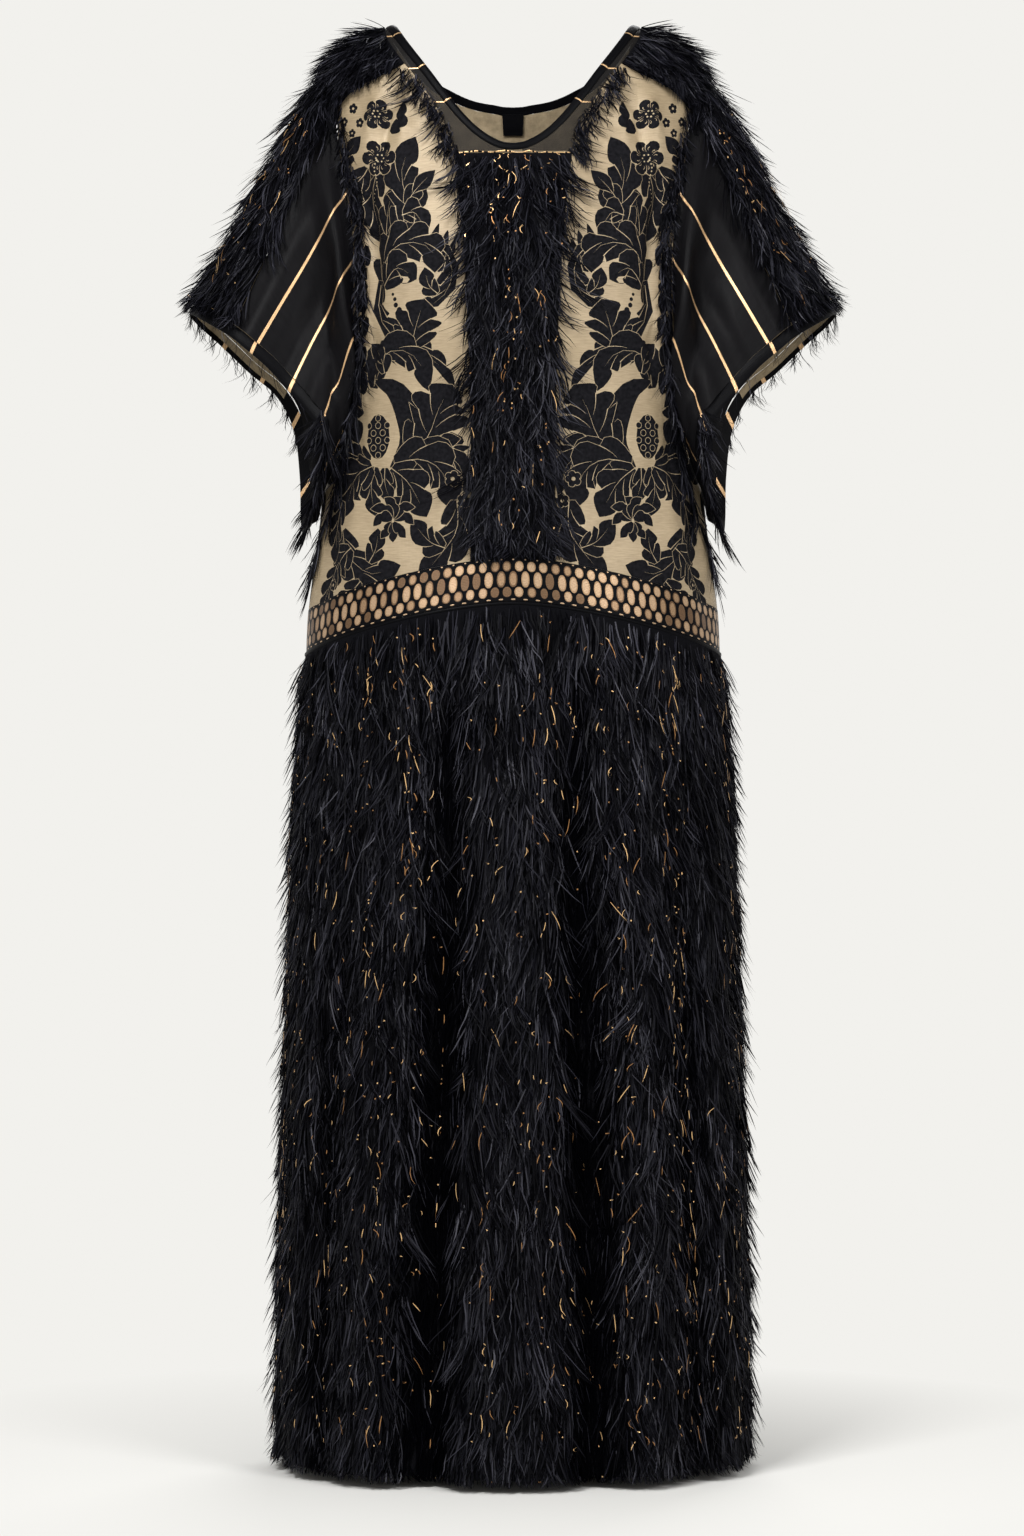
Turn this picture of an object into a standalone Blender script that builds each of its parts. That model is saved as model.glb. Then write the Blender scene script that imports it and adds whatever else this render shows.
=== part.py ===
"""A floor-length kaftan in its worn, filled-out shape, with nobody inside it.

Shaggy cut-thread pile covers the skirt, the shoulders, the sleeve tops and the front placket. The bodice is
damask, the sleeves are plain satin and a woven band runs round the hips. Metres, +Z up. The front faces -Y,
the wearer's left is +X, and the origin is midway between the two high shoulder points, where the shoulders
carry the garment.

Every bodice and skirt piece lies on one surface, body(), and every sleeve piece on another, sleeve(). A place
on a surface is a spot, with two coordinates. Neighbours are cut along the same seam, each a little inside it.
"""

import math
from collections import namedtuple
from functools import cache

import bmesh
import bpy
from mathutils import Vector
from mathutils.geometry import delaunay_2d_cdt, intersect_point_line

MM = 0.001

# Driving sizes
LENGTH = 1.434  # high shoulder point to the tips of the pile at the hem
HEM_CLEAR = 0.008  # the pile hangs this far below the skirt's cloth
CLOTH = 1.5 * MM
SHEER = 1.0 * MM
BINDING = 2.2 * MM
BAND = 1.8 * MM
PILE = 13.0 * MM  # reach of the skirt's pile off the cloth
SHOULDER_PILE = 11.0 * MM
PLACKET_PILE = 10.0 * MM
SEAM = 0.36 * MM  # gap between neighbouring pieces
SQUARENESS = 2.25  # 2 is an ellipse; more is boxier
SHOULDER_ROUND = 0.115  # drop over which the cloth turns from the shoulder to the chest
BAND_HEIGHT = 0.042
BAND_TOP = -0.584  # the hip band's upper edge at the sides
BAND_LIFT_FRONT, BAND_LIFT_BACK = 0.047, -0.004  # how far it rises to the centre
CUFF = 0.012  # width of the sleeve's hem binding
PIPING = 2.4 * MM
LABEL_WIDTH, LABEL_HEIGHT, LABEL_TOP = 0.022, 0.021, -0.0755
LABEL_IN = 1.5 * MM  # it hangs loose, this far inside the back
SLEEVE_FRINGE = 0.030  # length of the threads below the sleeve's hem
STRAND = 1.6 * MM
TRIM_CLEAR = 0.9 * MM  # from the cloth to a strip that lies on it
FRINGE_STRIP = 0.0035  # height of the strip that a fringe hangs from
ARM_TRIM = 0.018  # from the armhole seam to the strip on the front panel
QUARTER = math.pi / 2
SHARP = math.radians(38)
SIDE_DEPTH = 0.120  # half depth of the body that sets the gap at its side seams

# Body sections: half width at the sides, and depth in front of and behind the side seams.
Section = namedtuple("Section", "z half_width front back")
SECTIONS = (
    Section(0.040, 0.180, 0.062, 0.062),
    Section(-0.060, 0.182, 0.072, 0.080),
    Section(-0.120, 0.182, 0.089, 0.093),
    Section(-0.200, 0.180, 0.116, 0.103),
    Section(-0.290, 0.181, 0.133, 0.104),
    Section(-0.400, 0.185, 0.128, 0.098),
    Section(-0.490, 0.191, 0.127, 0.100),
    Section(-0.585, 0.203, 0.133, 0.110),
    Section(-0.660, 0.206, 0.136, 0.117),
    Section(-0.800, 0.213, 0.146, 0.130),
    Section(-0.960, 0.219, 0.155, 0.142),
    Section(-1.150, 0.225, 0.163, 0.152),
    Section(-1.330, 0.229, 0.170, 0.160),
    Section(-1.500, 0.228, 0.174, 0.164),
)

# The line along the top of the shoulders, by the angle round the body from the centre.
Shoulder = namedtuple("Shoulder", "angle z")
SHOULDERS = (
    Shoulder(0, 0.022),
    Shoulder(20, 0.013),
    Shoulder(37, 0.002),
    Shoulder(46, -0.006),
    Shoulder(57, -0.018),
    Shoulder(68, -0.034),
    Shoulder(90, -0.062),
)

# Vertical folds pushed into the body: the angle of the valley where it starts and at the hem (0 is the centre,
# 90 the wearer's left side), its spread in degrees, the heights where it starts, is deepest and has gone.
Fold = namedtuple("Fold", "front angle angle_low spread start full gone depth")
NEVER = -9.0
FOLDS = (
    Fold(True, -16, -22, 6.5, -0.57, -1.10, NEVER, 0.031),
    Fold(True, 16, 21, 6.0, -0.57, -1.05, NEVER, 0.029),
    Fold(True, -46, -52, 6.0, -0.62, -1.25, NEVER, 0.011),
    Fold(True, 44, 50, 6.5, -0.62, -1.20, NEVER, 0.012),
    Fold(True, -76, -74, 5.0, -0.66, -1.30, NEVER, 0.007),
    Fold(True, 76, 74, 5.0, -0.66, -1.25, NEVER, 0.007),
    Fold(False, -14, -17, 6.0, -0.60, -1.15, NEVER, 0.023),
    Fold(False, 22, 26, 6.5, -0.60, -1.10, NEVER, 0.025),
    Fold(False, -52, -56, 6.5, -0.62, -1.20, NEVER, 0.014),
    Fold(False, 62, 64, 6.0, -0.62, -1.25, NEVER, 0.012),
    Fold(True, -50, -47, 7.0, -0.09, -0.20, -0.37, 0.005),
    Fold(True, 50, 47, 7.0, -0.09, -0.20, -0.37, 0.005),
    Fold(True, -66, -68, 6.0, -0.44, -0.52, -0.64, 0.004),
    Fold(True, 66, 68, 6.0, -0.44, -0.52, -0.64, 0.004),
    Fold(False, -30, -26, 6.0, -0.10, -0.30, -0.56, 0.006),
    Fold(False, 30, 26, 6.0, -0.10, -0.30, -0.56, 0.006),
)

# Points of the seams, as distances from the centre line and heights, on the wearer's left. The right mirrors
# them. A seam that starts or ends on another has the same point there.
Point = namedtuple("Point", "front x z")
PLACKET_TOP = -0.1400
PIPING_TOP = -0.1368
PLACKET_HALF_ANGLE = 12.0  # degrees round the body, at the hip band
PLACKET_SEAM = (
    Point(True, 0.0585, PLACKET_TOP),
    Point(True, 0.0560, -0.160),
    Point(True, 0.0500, -0.215),
    Point(True, 0.0450, -0.290),
    Point(True, 0.0420, -0.370),
    Point(True, 0.0410, -0.450),
)
YOKE_SEAM = (
    Point(True, 0.0585, PIPING_TOP),
    Point(True, 0.0630, -0.118),
    Point(True, 0.0740, -0.094),
    Point(True, 0.0910, -0.066),
    Point(True, 0.1070, -0.045),
)
YOKE_TOP_SEAM = (
    Point(True, 0.1070, -0.045),
    Point(True, 0.1190, -0.027),
    Point(True, 0.1255, -0.0135),
)
SHOULDER_FRONT_SEAM = (
    Point(True, 0.1070, -0.045),
    Point(True, 0.1240, -0.054),
    Point(True, 0.1430, -0.062),
    Point(True, 0.1620, -0.073),
)
SHOULDER_BACK_SEAM = (
    Point(False, 0.1240, -0.050),
    Point(False, 0.1430, -0.062),
    Point(False, 0.1620, -0.075),
)

# The neck binding's inner and outer edges, from the centre front over the shoulder to the centre back.
Neck = namedtuple("Neck", "front x z x_out z_out")
NECK = (
    Neck(True, 0.0000, -0.1290, 0.0000, -0.1363),
    Neck(True, 0.0080, -0.1282, 0.0090, -0.1355),
    Neck(True, 0.0165, -0.1250, 0.0190, -0.1322),
    Neck(True, 0.0320, -0.1150, 0.0360, -0.1215),
    Neck(True, 0.0520, -0.0940, 0.0585, -0.0985),
    Neck(True, 0.0800, -0.0550, 0.0870, -0.0590),
    Neck(True, 0.1070, -0.0170, 0.1150, -0.0205),
    Neck(True, 0.1185, 0.0010, 0.1275, -0.0040),
    Neck(False, 0.1080, -0.0130, 0.1165, -0.0170),
    Neck(False, 0.0850, -0.0400, 0.0910, -0.0470),
    Neck(False, 0.0640, -0.0535, 0.0670, -0.0620),
    Neck(False, 0.0370, -0.0640, 0.0380, -0.0725),
    Neck(False, 0.0000, -0.0690, 0.0000, -0.0780),
)
NECK_YOKE_ROW, NECK_RIDGE_ROW, NECK_BACK_ROW = 1, 7, 8

# The sleeve's two loops, from the shoulder tip down the front, under the arm and up the back. The armhole is
# on the body, and its underarm row lies on the side seam. The hem's points are in space.
Loop = namedtuple("Loop", "front arm_x arm_z hem_x hem_y hem_z")
SLEEVE = (
    Loop(True, 0.1760, -0.0375, 0.3240, -0.002, -0.287),
    Loop(True, 0.1765, -0.0600, 0.3100, -0.040, -0.296),
    Loop(True, 0.1750, -0.0880, 0.2800, -0.066, -0.315),
    Loop(True, 0.1710, -0.1250, 0.2640, -0.073, -0.328),
    Loop(True, 0.1640, -0.1650, 0.2430, -0.076, -0.346),
    Loop(True, 0.1580, -0.2150, 0.2240, -0.078, -0.367),
    Loop(True, 0.1560, -0.2700, 0.2040, -0.086, -0.390),
    Loop(True, 0.1570, -0.3250, 0.1880, -0.094, -0.416),
    Loop(True, 0.1610, -0.3800, 0.1900, -0.076, -0.446),
    Loop(True, 0.1720, -0.4350, 0.2000, -0.041, -0.483),
    Loop(True, 0.1910, -0.4900, 0.2090, 0.002, -0.506),
    Loop(False, 0.1780, -0.4400, 0.2130, 0.034, -0.489),
    Loop(False, 0.1700, -0.3700, 0.2150, 0.053, -0.446),
    Loop(False, 0.1680, -0.3000, 0.2220, 0.060, -0.398),
    Loop(False, 0.1700, -0.2300, 0.2400, 0.064, -0.364),
    Loop(False, 0.1730, -0.1650, 0.2680, 0.062, -0.340),
    Loop(False, 0.1755, -0.0920, 0.2980, 0.050, -0.312),
    Loop(False, 0.1765, -0.0600, 0.3180, 0.028, -0.295),
)
TOP_FRONT_ROW, UNDERARM_ROW, TOP_BACK_ROW, ROWS = 2, 10, 16, len(SLEEVE)
HEM_FRINGE_START, HEM_FRINGE_END = 9, -5  # rows, up the front and down the back
ROOT_EASE = 0.12  # share of the sleeve's length over which it turns away from the body
ROOT_OUT = 2.3 * MM  # the sleeve's seam lies this far off the body's inner face

# Folds of the sleeve: the rows and the share of its length where each lies, its spreads, and how far it stands
# out (or in, if negative).
Drape = namedtuple("Drape", "row row_spread along along_spread out")
DRAPES = (
    Drape(0.0, 2.2, 0.25, 0.25, 0.006),
    Drape(5.4, 2.3, 0.16, 0.13, 0.019),
    Drape(5.6, 2.0, 0.50, 0.14, -0.010),
    Drape(7.5, 1.2, 0.45, 0.30, 0.008),
    Drape(13.5, 2.4, 0.22, 0.18, 0.012),
    Drape(14.5, 2.0, 0.62, 0.16, -0.007),
)

# Strands laid on the body: how many a side, how far one falls, and how far it leans towards the wearer's left
# for each metre down.
Trim = namedtuple("Trim", "strands fall slant")
ARMHOLE_TRIM = Trim(28, 0.034, -0.7)
YOKE_TRIM = Trim(14, 0.026, 0.15)
ARMHOLE_TRIM_ROWS = 3, 8  # of the sleeve, before the strip goes on down the side
Low = namedtuple("Low", "angle z")
SIDE_TRIM = (Low(58.0, -0.435), Low(66.0, -0.480), Low(76.0, -0.514), Low(81.0, -0.556))
YOKE_TRIM_SHIFT = Vector((0.5, 0.009))  # from the yoke's seam

# How finely the pieces are cut
STATIONS = 2  # points of a seam for each row of its table
SIDE_COLUMNS, PLACKET_COLUMNS = 17, 6  # of the band and the skirt, beside and in line with the placket
FRONT_SPACING, BACK_SPACING, SHOULDER_SPACING = 0.022, 0.030, 0.017
SKIRT_TUFTS, SKIRT_INNER_LINES = 12, 9  # rows of tufts outside, and lines of the plain inside
PLACKET_TUFTS, PLACKET_INNER_LINES = 9, 10
SLEEVE_TUFTS, SLEEVE_INNER_LINES = 5, 7
SLEEVE_LINES = 6
TUFT_STAGGER, TUFT_UNEVEN, TUFT_STEP = 0.24, 0.08, 0.08  # shares of a row of tufts
TUFT_ROOT, TUFT_TIP = 0.56, 0.90  # shares of the pile's reach
TUFT_EASE = 0.12  # share of the way down over which the pile thickens
STRIP_DROP = 0.1  # the strip of a fringe lies this far above its strands, as a share of their length
ROW_SEAM = 0.010  # half a seam's gap, in rows of the sleeve
ARM_SEAM = 0.5 * MM  # from the armhole's seam to the sleeve


# ---- Interpolation -------------------------------------------------------------------------------------------


def ramp(value, start, end):
    """0 before start, 1 after end, eased in between."""
    share = min(1.0, max(0.0, (value - start) / (end - start)))
    return share * share * (3 - 2 * share)


def bell(value, spread):
    return math.exp(-((value / spread) ** 2))


def wobble(*numbers):
    """A fixed number from -1 to 1 that looks random."""
    return math.sin(43.7 * sum(n * k for n, k in zip(numbers, (12.9898, 78.233, 37.719))))


def hermite(start, end, leave, arrive, share):
    square, cube = share * share, share**3
    return (
        start * (2 * cube - 3 * square + 1)
        + leave * (cube - 2 * square + share)
        + end * (3 * square - 2 * cube)
        + arrive * (cube - square)
    )


def by_key(rows, at):
    """A row's columns after the first, eased between the rows of a table whose first column runs one way."""
    keys = [row[0] for row in rows]
    flip = 1 if keys[-1] > keys[0] else -1
    last = len(rows) - 1
    cell = next((i for i in range(last) if (keys[i + 1] - at) * flip > 0), last - 1)
    width = keys[cell + 1] - keys[cell]
    share = min(1.0, max(0.0, (at - keys[cell]) / width))

    def slope(i, column):
        low, high = max(0, i - 1), min(last, i + 1)
        return (rows[high][column] - rows[low][column]) / (keys[high] - keys[low]) * width

    return [
        hermite(rows[cell][c], rows[cell + 1][c], slope(cell, c), slope(cell + 1, c), share)
        for c in range(1, len(rows[0]))
    ]


def spline(points, at):
    """A smooth curve through the points, at a place counted in points from the first."""
    last = len(points) - 1
    cell = min(max(int(at), 0), last - 1)
    start, end = points[cell], points[cell + 1]
    leave = (end - points[cell - 1]) / 2 if cell > 0 else end - start
    arrive = (points[cell + 2] - start) / 2 if cell < last - 1 else end - start
    return hermite(start, end, leave, arrive, at - cell)


def stations(points, each=STATIONS):
    """The points of a smooth curve, with some more between each two."""
    return [spline(points, i / each) for i in range((len(points) - 1) * each + 1)]


def spread(start, end, count):
    """Numbers from start to end, at count equal steps."""
    return [start + (end - start) * i / count for i in range(count + 1)]


# ---- The body's surface: a spot is (angle, over) -------------------------------------------------------------


def fold_depth(front, angle, z):
    depth = 0.0
    for fold in FOLDS:
        if fold.front != front:
            continue
        centre = fold.angle + (fold.angle_low - fold.angle) * ramp(-z, -fold.start, LENGTH)
        share = ramp(-z, -fold.start, -fold.full)
        if fold.gone != NEVER:
            share *= 1 - ramp(-z, -fold.full, -fold.gone)
        depth += fold.depth * share * bell(angle - centre, fold.spread)
    return depth


def body(angle, over):
    """A point of the body's cloth. angle is from the centre towards the wearer's left, in degrees, and over is
    the way over the shoulder, in metres: positive down the front, negative down the back."""
    front = over >= 0
    turn = min(abs(over) / SHOULDER_ROUND, QUARTER)
    straight = abs(over) - turn * SHOULDER_ROUND
    z = by_key(SHOULDERS, abs(angle))[0] - SHOULDER_ROUND * (1 - math.cos(turn)) - straight
    half_width, front_depth, back_depth = by_key(SECTIONS, z)
    sine, cosine = math.sin(math.radians(angle)), abs(math.cos(math.radians(angle)))
    reach = (abs(sine) ** SQUARENESS + cosine**SQUARENESS) ** (-1 / SQUARENESS)
    x = half_width * reach * sine
    y = (-front_depth if front else back_depth) * reach * cosine * math.sin(turn)
    outwards = Vector((x, y * 1.6, 0)).normalized()
    return Vector((x, y, z)) - outwards * fold_depth(front, angle, z)


def over_at(angle, z, front):
    """The way over the shoulder to a height."""
    drop = max(0.0, by_key(SHOULDERS, abs(angle))[0] - z)
    if drop < SHOULDER_ROUND:
        way = SHOULDER_ROUND * math.acos(1 - drop / SHOULDER_ROUND)
    else:
        way = drop + SHOULDER_ROUND * (QUARTER - 1)
    return way if front else -way


def spot_at(front, x, z):
    """The spot of the body at a distance from the centre line and a height."""
    share = abs(x) / by_key(SECTIONS, z)[0]
    if share < 1e-6:
        angle = 0.0
    elif share > 1 - 1e-6:
        angle = 90.0
    else:
        cotangent = (share**-SQUARENESS - 1) ** (1 / SQUARENESS)
        angle = math.degrees(math.atan2(1, cotangent))
    return Vector((math.copysign(angle, x), over_at(angle, z, front)))


def seam(rows):
    return stations([spot_at(*row) for row in rows])


def mirrored(spots):
    return [Vector((-spot.x, spot.y)) for spot in spots]


def band_top(angle, front):
    """Height of the hip band's upper edge, which dips towards the sides in front."""
    centred = 1 - abs(math.sin(math.radians(angle))) ** 1.7
    return BAND_TOP + (BAND_LIFT_FRONT if front else BAND_LIFT_BACK) * centred


def band_line(front, below, angles):
    """Spots round the body, this far below the hip band's upper edge."""
    return [Vector((a, over_at(a, band_top(a, front) - below, front))) for a in angles]


def band_angles(start=-90.0, end=90.0):
    """The band's stations from one angle to another, with some at the placket's seams."""
    beside = spread(PLACKET_HALF_ANGLE, 90.0, SIDE_COLUMNS)
    middle = spread(-PLACKET_HALF_ANGLE, PLACKET_HALF_ANGLE, PLACKET_COLUMNS)
    inside = [-a for a in beside[:0:-1]] + middle + beside[1:]
    return [start] + [a for a in inside if start + 1 < a < end - 1] + [end]


# ---- The sleeve's surface: a spot is (row, along) ------------------------------------------------------------


def armhole_spots():
    """The armhole's two halves on the body, down the front to the underarm and up the back to the shoulder."""
    found = [spot_at(row.front, row.arm_x, row.arm_z) for row in SLEEVE]
    top = Vector((found[0].x, 0.0))
    low = Vector((90.0, found[UNDERARM_ROW].y))
    front = [top] + found[1:UNDERARM_ROW] + [low]
    back = [Vector((90.0, -low.y))] + found[UNDERARM_ROW + 1 :] + [top]
    return front, back


ARM_FRONT, ARM_BACK = armhole_spots()
HEM_POINTS = [Vector((row.hem_x, row.hem_y, row.hem_z)) for row in SLEEVE]


def armhole(row):
    """The spot on the body of a row of the sleeve."""
    row %= ROWS
    if row <= UNDERARM_ROW:
        return spline(ARM_FRONT, row)
    return spline(ARM_BACK, row - UNDERARM_ROW)


def armhole_line(first, last):
    """Spots on the body along the armhole, from one row of the sleeve to another."""
    count = abs(last - first) * STATIONS
    return [armhole(row) for row in spread(first, last, count)]


@cache
def sleeve_ends(row):
    """The sleeve's points at the armhole, just above the body's cloth, and at the hem."""
    spot = armhole(row)
    cell = math.floor(row)
    around = [HEM_POINTS[(cell + step) % ROWS] for step in (-1, 0, 1, 2)]
    return body_on(1).out(spot, ROOT_OUT), spline(around, 1 + row - cell)


def sleeve_line(row, along):
    """The sleeve before its folds: straight from the armhole to the hem."""
    start, end = sleeve_ends(row)
    return start.lerp(end, along)


def sleeve(row, along):
    """A point of the left sleeve, at a row of its table and a share of the way from the armhole to the hem."""
    around = sleeve_line(row + 0.05, along) - sleeve_line(row - 0.05, along)
    down = sleeve_line(row, 1.0) - sleeve_line(row, 0.0)
    out = 0.0
    for drape in DRAPES:
        away = (row - drape.row + ROWS / 2) % ROWS - ROWS / 2
        out += drape.out * bell(away, drape.row_spread) * bell(along - drape.along, drape.along_spread)
    return sleeve_line(row, along) + around.cross(down).normalized() * out * ramp(along, 0.0, ROOT_EASE)


def sleeve_share(row, width, along):
    """The share of the sleeve's length in a strip of this width, measured square to its edge at along."""
    edge = sleeve_line(row + 0.05, along) - sleeve_line(row - 0.05, along)
    down = sleeve_line(row, 1.0) - sleeve_line(row, 0.0)
    return width / edge.normalized().cross(down).length


# ---- Both surfaces -------------------------------------------------------------------------------------------


class Surface:
    """A surface as the wearer's left (side 1) or right (-1) has it. turn is the way its coordinates run round:
    1 if the cross product of their directions points out of the garment on the left."""

    def __init__(self, shape, steps, turn, side):
        self.shape, self.steps, self.side = shape, steps, side
        self.turn = turn * side

    def point(self, spot):
        found = self.shape(*spot)
        return Vector((found.x * self.side, found.y, found.z))

    def slopes(self, spot):
        """How the point moves for each unit of the first and of the second coordinate."""
        found = []
        for axis in (0, 1):
            low, high = spot.copy(), spot.copy()
            low[axis] -= self.steps[axis]
            high[axis] += self.steps[axis]
            if self.shape is body:
                low.x, high.x = max(-90.0, low.x), min(90.0, high.x)
            found.append((self.point(high) - self.point(low)) / (high[axis] - low[axis]))
        return found

    def normal(self, spot):
        first, second = self.slopes(spot)
        return first.cross(second).normalized() * self.turn

    def out(self, spot, distance):
        return self.point(spot) + self.normal(spot) * distance

    def step(self, spot, move):
        """The change of coordinates that moves a point by a small vector along the surface."""
        a, b = self.slopes(spot)
        aa, ab, bb, am, bm = a.dot(a), a.dot(b), b.dot(b), a.dot(move), b.dot(move)
        under = aa * bb - ab * ab
        return Vector(((am * bb - bm * ab) / under, (bm * aa - am * ab) / under))

    def inset(self, outline, distance):
        """An outline's spots moved in from its edge. The outline may run either way round."""
        area = sum(p.x * q.y - q.x * p.y for p, q in zip(outline, outline[1:] + outline[:1]))
        turn = math.copysign(1, area) * self.turn
        points = [self.point(spot) for spot in outline]
        moved = []
        for i, spot in enumerate(outline):
            normal = self.normal(spot)
            arrive = normal.cross(points[i] - points[i - 1]).normalized()
            leave = normal.cross(points[(i + 1) % len(points)] - points[i]).normalized()
            mitre = (arrive + leave) / (1 + max(-0.5, arrive.dot(leave)))
            moved.append(spot + self.step(spot, mitre * distance * turn))
        return moved


class SleeveTop(Surface):
    """The sleeve with its normal turned at the armhole to the body's, so that pile meets pile there."""

    def normal(self, spot):
        there = body_on(self.side).normal(armhole(spot.x))
        return there.lerp(super().normal(spot), ramp(spot.y, 0.0, ROOT_EASE)).normalized()


def body_on(side):
    return Surface(body, (0.02, 0.0004), -1, side)


def sleeve_on(side):
    return Surface(sleeve, (0.02, 0.004), 1, side)


# ---- Walls ---------------------------------------------------------------------------------------------------


def material(name, colour, roughness, metallic=0.0):
    found = bpy.data.materials.new(name)
    found.use_nodes = True
    shader = found.node_tree.nodes["Principled BSDF"]
    shader.inputs["Base Color"].default_value = (*colour, 1)
    shader.inputs["Roughness"].default_value = roughness
    shader.inputs["Metallic"].default_value = metallic
    return found


def finished(name, mesh, finish):
    """Closes the work on a bmesh: an object with its faces pointing out."""
    bmesh.ops.recalc_face_normals(mesh, faces=mesh.faces)
    data = bpy.data.meshes.new(name)
    mesh.to_mesh(data)
    mesh.free()
    data.materials.append(finish)
    data.shade_smooth()
    data.set_sharp_from_angle(angle=SHARP)
    made = bpy.data.objects.new(name, data)
    KAFTAN.objects.link(made)
    return made


METRES_PER_UNIT = Vector((0.0032, 1.0))  # what a degree and a metre over the shoulder measure on the body


def fill(outline, spacing):
    """Spots inside an outline on the body at about this spacing, and the triangles between all the spots."""
    flat = [spot * METRES_PER_UNIT for spot in outline]
    edges = list(zip(flat, flat[1:] + flat[:1]))

    def inside(at):
        crossings = 0
        for p, q in edges:
            if (p.y > at.y) != (q.y > at.y):
                crossings += at.x < p.x + (at.y - p.y) * (q.x - p.x) / (q.y - p.y)
        return crossings % 2 == 1

    def clear(at):
        for p, q in edges:
            near, share = intersect_point_line(at, p, q)
            near = p.lerp(q, min(1.0, max(0.0, share)))
            if (near - at).length < spacing * 0.55:
                return False
        return True

    lows = [min(p[axis] for p in flat) for axis in (0, 1)]
    highs = [max(p[axis] for p in flat) for axis in (0, 1)]
    lines = int((highs[1] - lows[1]) / (spacing * 0.87)) + 1
    for line in range(1, lines):
        y = lows[1] + line * spacing * 0.87
        shift = spacing / 2 * (line % 2)
        for column in range(int((highs[0] - lows[0]) / spacing) + 2):
            at = Vector((lows[0] + column * spacing - shift, y))
            if inside(at) and clear(at):
                flat.append(at)
    ring = [list(range(len(outline)))]
    points, _, faces, *_ = delaunay_2d_cdt(flat, [], ring, 1, 1e-7)
    scaled = [Vector((p.x / METRES_PER_UNIT.x, p.y / METRES_PER_UNIT.y)) for p in points]
    return scaled, faces


def panel(name, surface, outline, spacing, height, finish, low=0.0):
    """A piece cut to an outline on the body, from low off the cloth's line to height, a function of the spot."""
    edge = surface.inset(outline, SEAM / 2)
    spots, faces = fill(edge, spacing)
    mesh = bmesh.new()
    inner = [mesh.verts.new(surface.out(spot, low)) for spot in spots]
    outer = [mesh.verts.new(surface.out(spot, height(spot))) for spot in spots]
    for face in faces:
        mesh.faces.new([inner[i] for i in face])
        mesh.faces.new([outer[i] for i in reversed(face)])
    ring = list(range(len(edge)))
    for i, k in zip(ring, ring[1:] + ring[:1]):
        mesh.faces.new((inner[i], inner[k], outer[k], outer[i]))
    return finished(name, mesh, finish)


def zip_lines(mesh, first, second):
    """Triangles between two lines of vertices that run the same way, whatever their counts."""
    i = j = 0
    while i < len(first) - 1 or j < len(second) - 1:
        ahead = (i + 1) * (len(second) - 1) <= (j + 1) * (len(first) - 1)
        if j == len(second) - 1 or (i < len(first) - 1 and ahead):
            mesh.faces.new((first[i], first[i + 1], second[j]))
            i += 1
        else:
            mesh.faces.new((first[i], second[j + 1], second[j]))
            j += 1


def wall(name, outer, inner, finish, closed=False):
    """A wall between two sheets of points. Each is a list of lines across, with the same columns in both; the
    lines may differ in number. A closed wall is a ring, whose lines join up."""
    mesh = bmesh.new()
    sheets = [[[mesh.verts.new(point) for point in line] for line in lines] for lines in (outer, inner)]
    columns = len(outer[0]) - (0 if closed else 1)
    for sheet in sheets:
        for upper, lower in zip(sheet, sheet[1:]):
            for i in range(columns):
                k = (i + 1) % len(upper)
                mesh.faces.new((upper[i], upper[k], lower[k], lower[i]))
    for end in (0, -1):
        one, other = sheets[0][end], sheets[1][end]
        for i in range(columns):
            k = (i + 1) % len(one)
            mesh.faces.new((one[i], one[k], other[k], other[i]))
        if not closed:
            zip_lines(mesh, *([line[end] for line in sheet] for sheet in sheets))
    return finished(name, mesh, finish)


def grid_wall(name, surface, lines, low, high, finish, closed=False):
    """A wall of even thickness on a grid of spots."""
    sheets = [[[surface.out(spot, out) for spot in line] for line in lines] for out in (high, low)]
    return wall(name, *sheets, finish, closed)


def pile_wall(name, surface, line_at, tufts, inner_lines, reach, finish, root=0.3, clear=0.0):
    """A wall of pile: plain inside, and outside in staggered rows of tufts whose tips stand out over the next.

    line_at(down) gives the spots across at a share of the way down. root is how thick the pile is at its top,
    as a share of its reach, and the inside stops clear (a share of the height) above the tips at the foot."""
    columns = len(line_at(0.0))

    def point(column, down, out):
        return surface.out(line_at(down)[column], out)

    def full(down):
        return reach * (root + (1 - root) * ramp(down, 0.0, TUFT_EASE))

    outer = []
    for tuft in range(tufts):
        begins, tips = [], []
        for column in range(columns):
            stagger = (TUFT_STAGGER if column % 2 else -TUFT_STAGGER) + TUFT_UNEVEN * wobble(column, 3)
            begin = 0.0 if tuft == 0 else (tuft + stagger + TUFT_STEP) / tufts
            tip = 1.0 if tuft == tufts - 1 else (tuft + 1 + stagger) / tufts
            low = TUFT_ROOT + 0.06 * wobble(column, tuft)
            high = TUFT_TIP + (1 - TUFT_TIP) * wobble(tuft, column, 5)
            begins.append(point(column, begin, full(tuft / tufts) * low))
            tips.append(point(column, tip, full((tuft + 1) / tufts) * high))
        outer += [begins, tips]
    inner = [
        [surface.point(spot) for spot in line_at(down)]
        for down in spread(0.0, 1.0 - clear, inner_lines - 1)
    ]
    return wall(name, outer, inner, finish)


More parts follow.
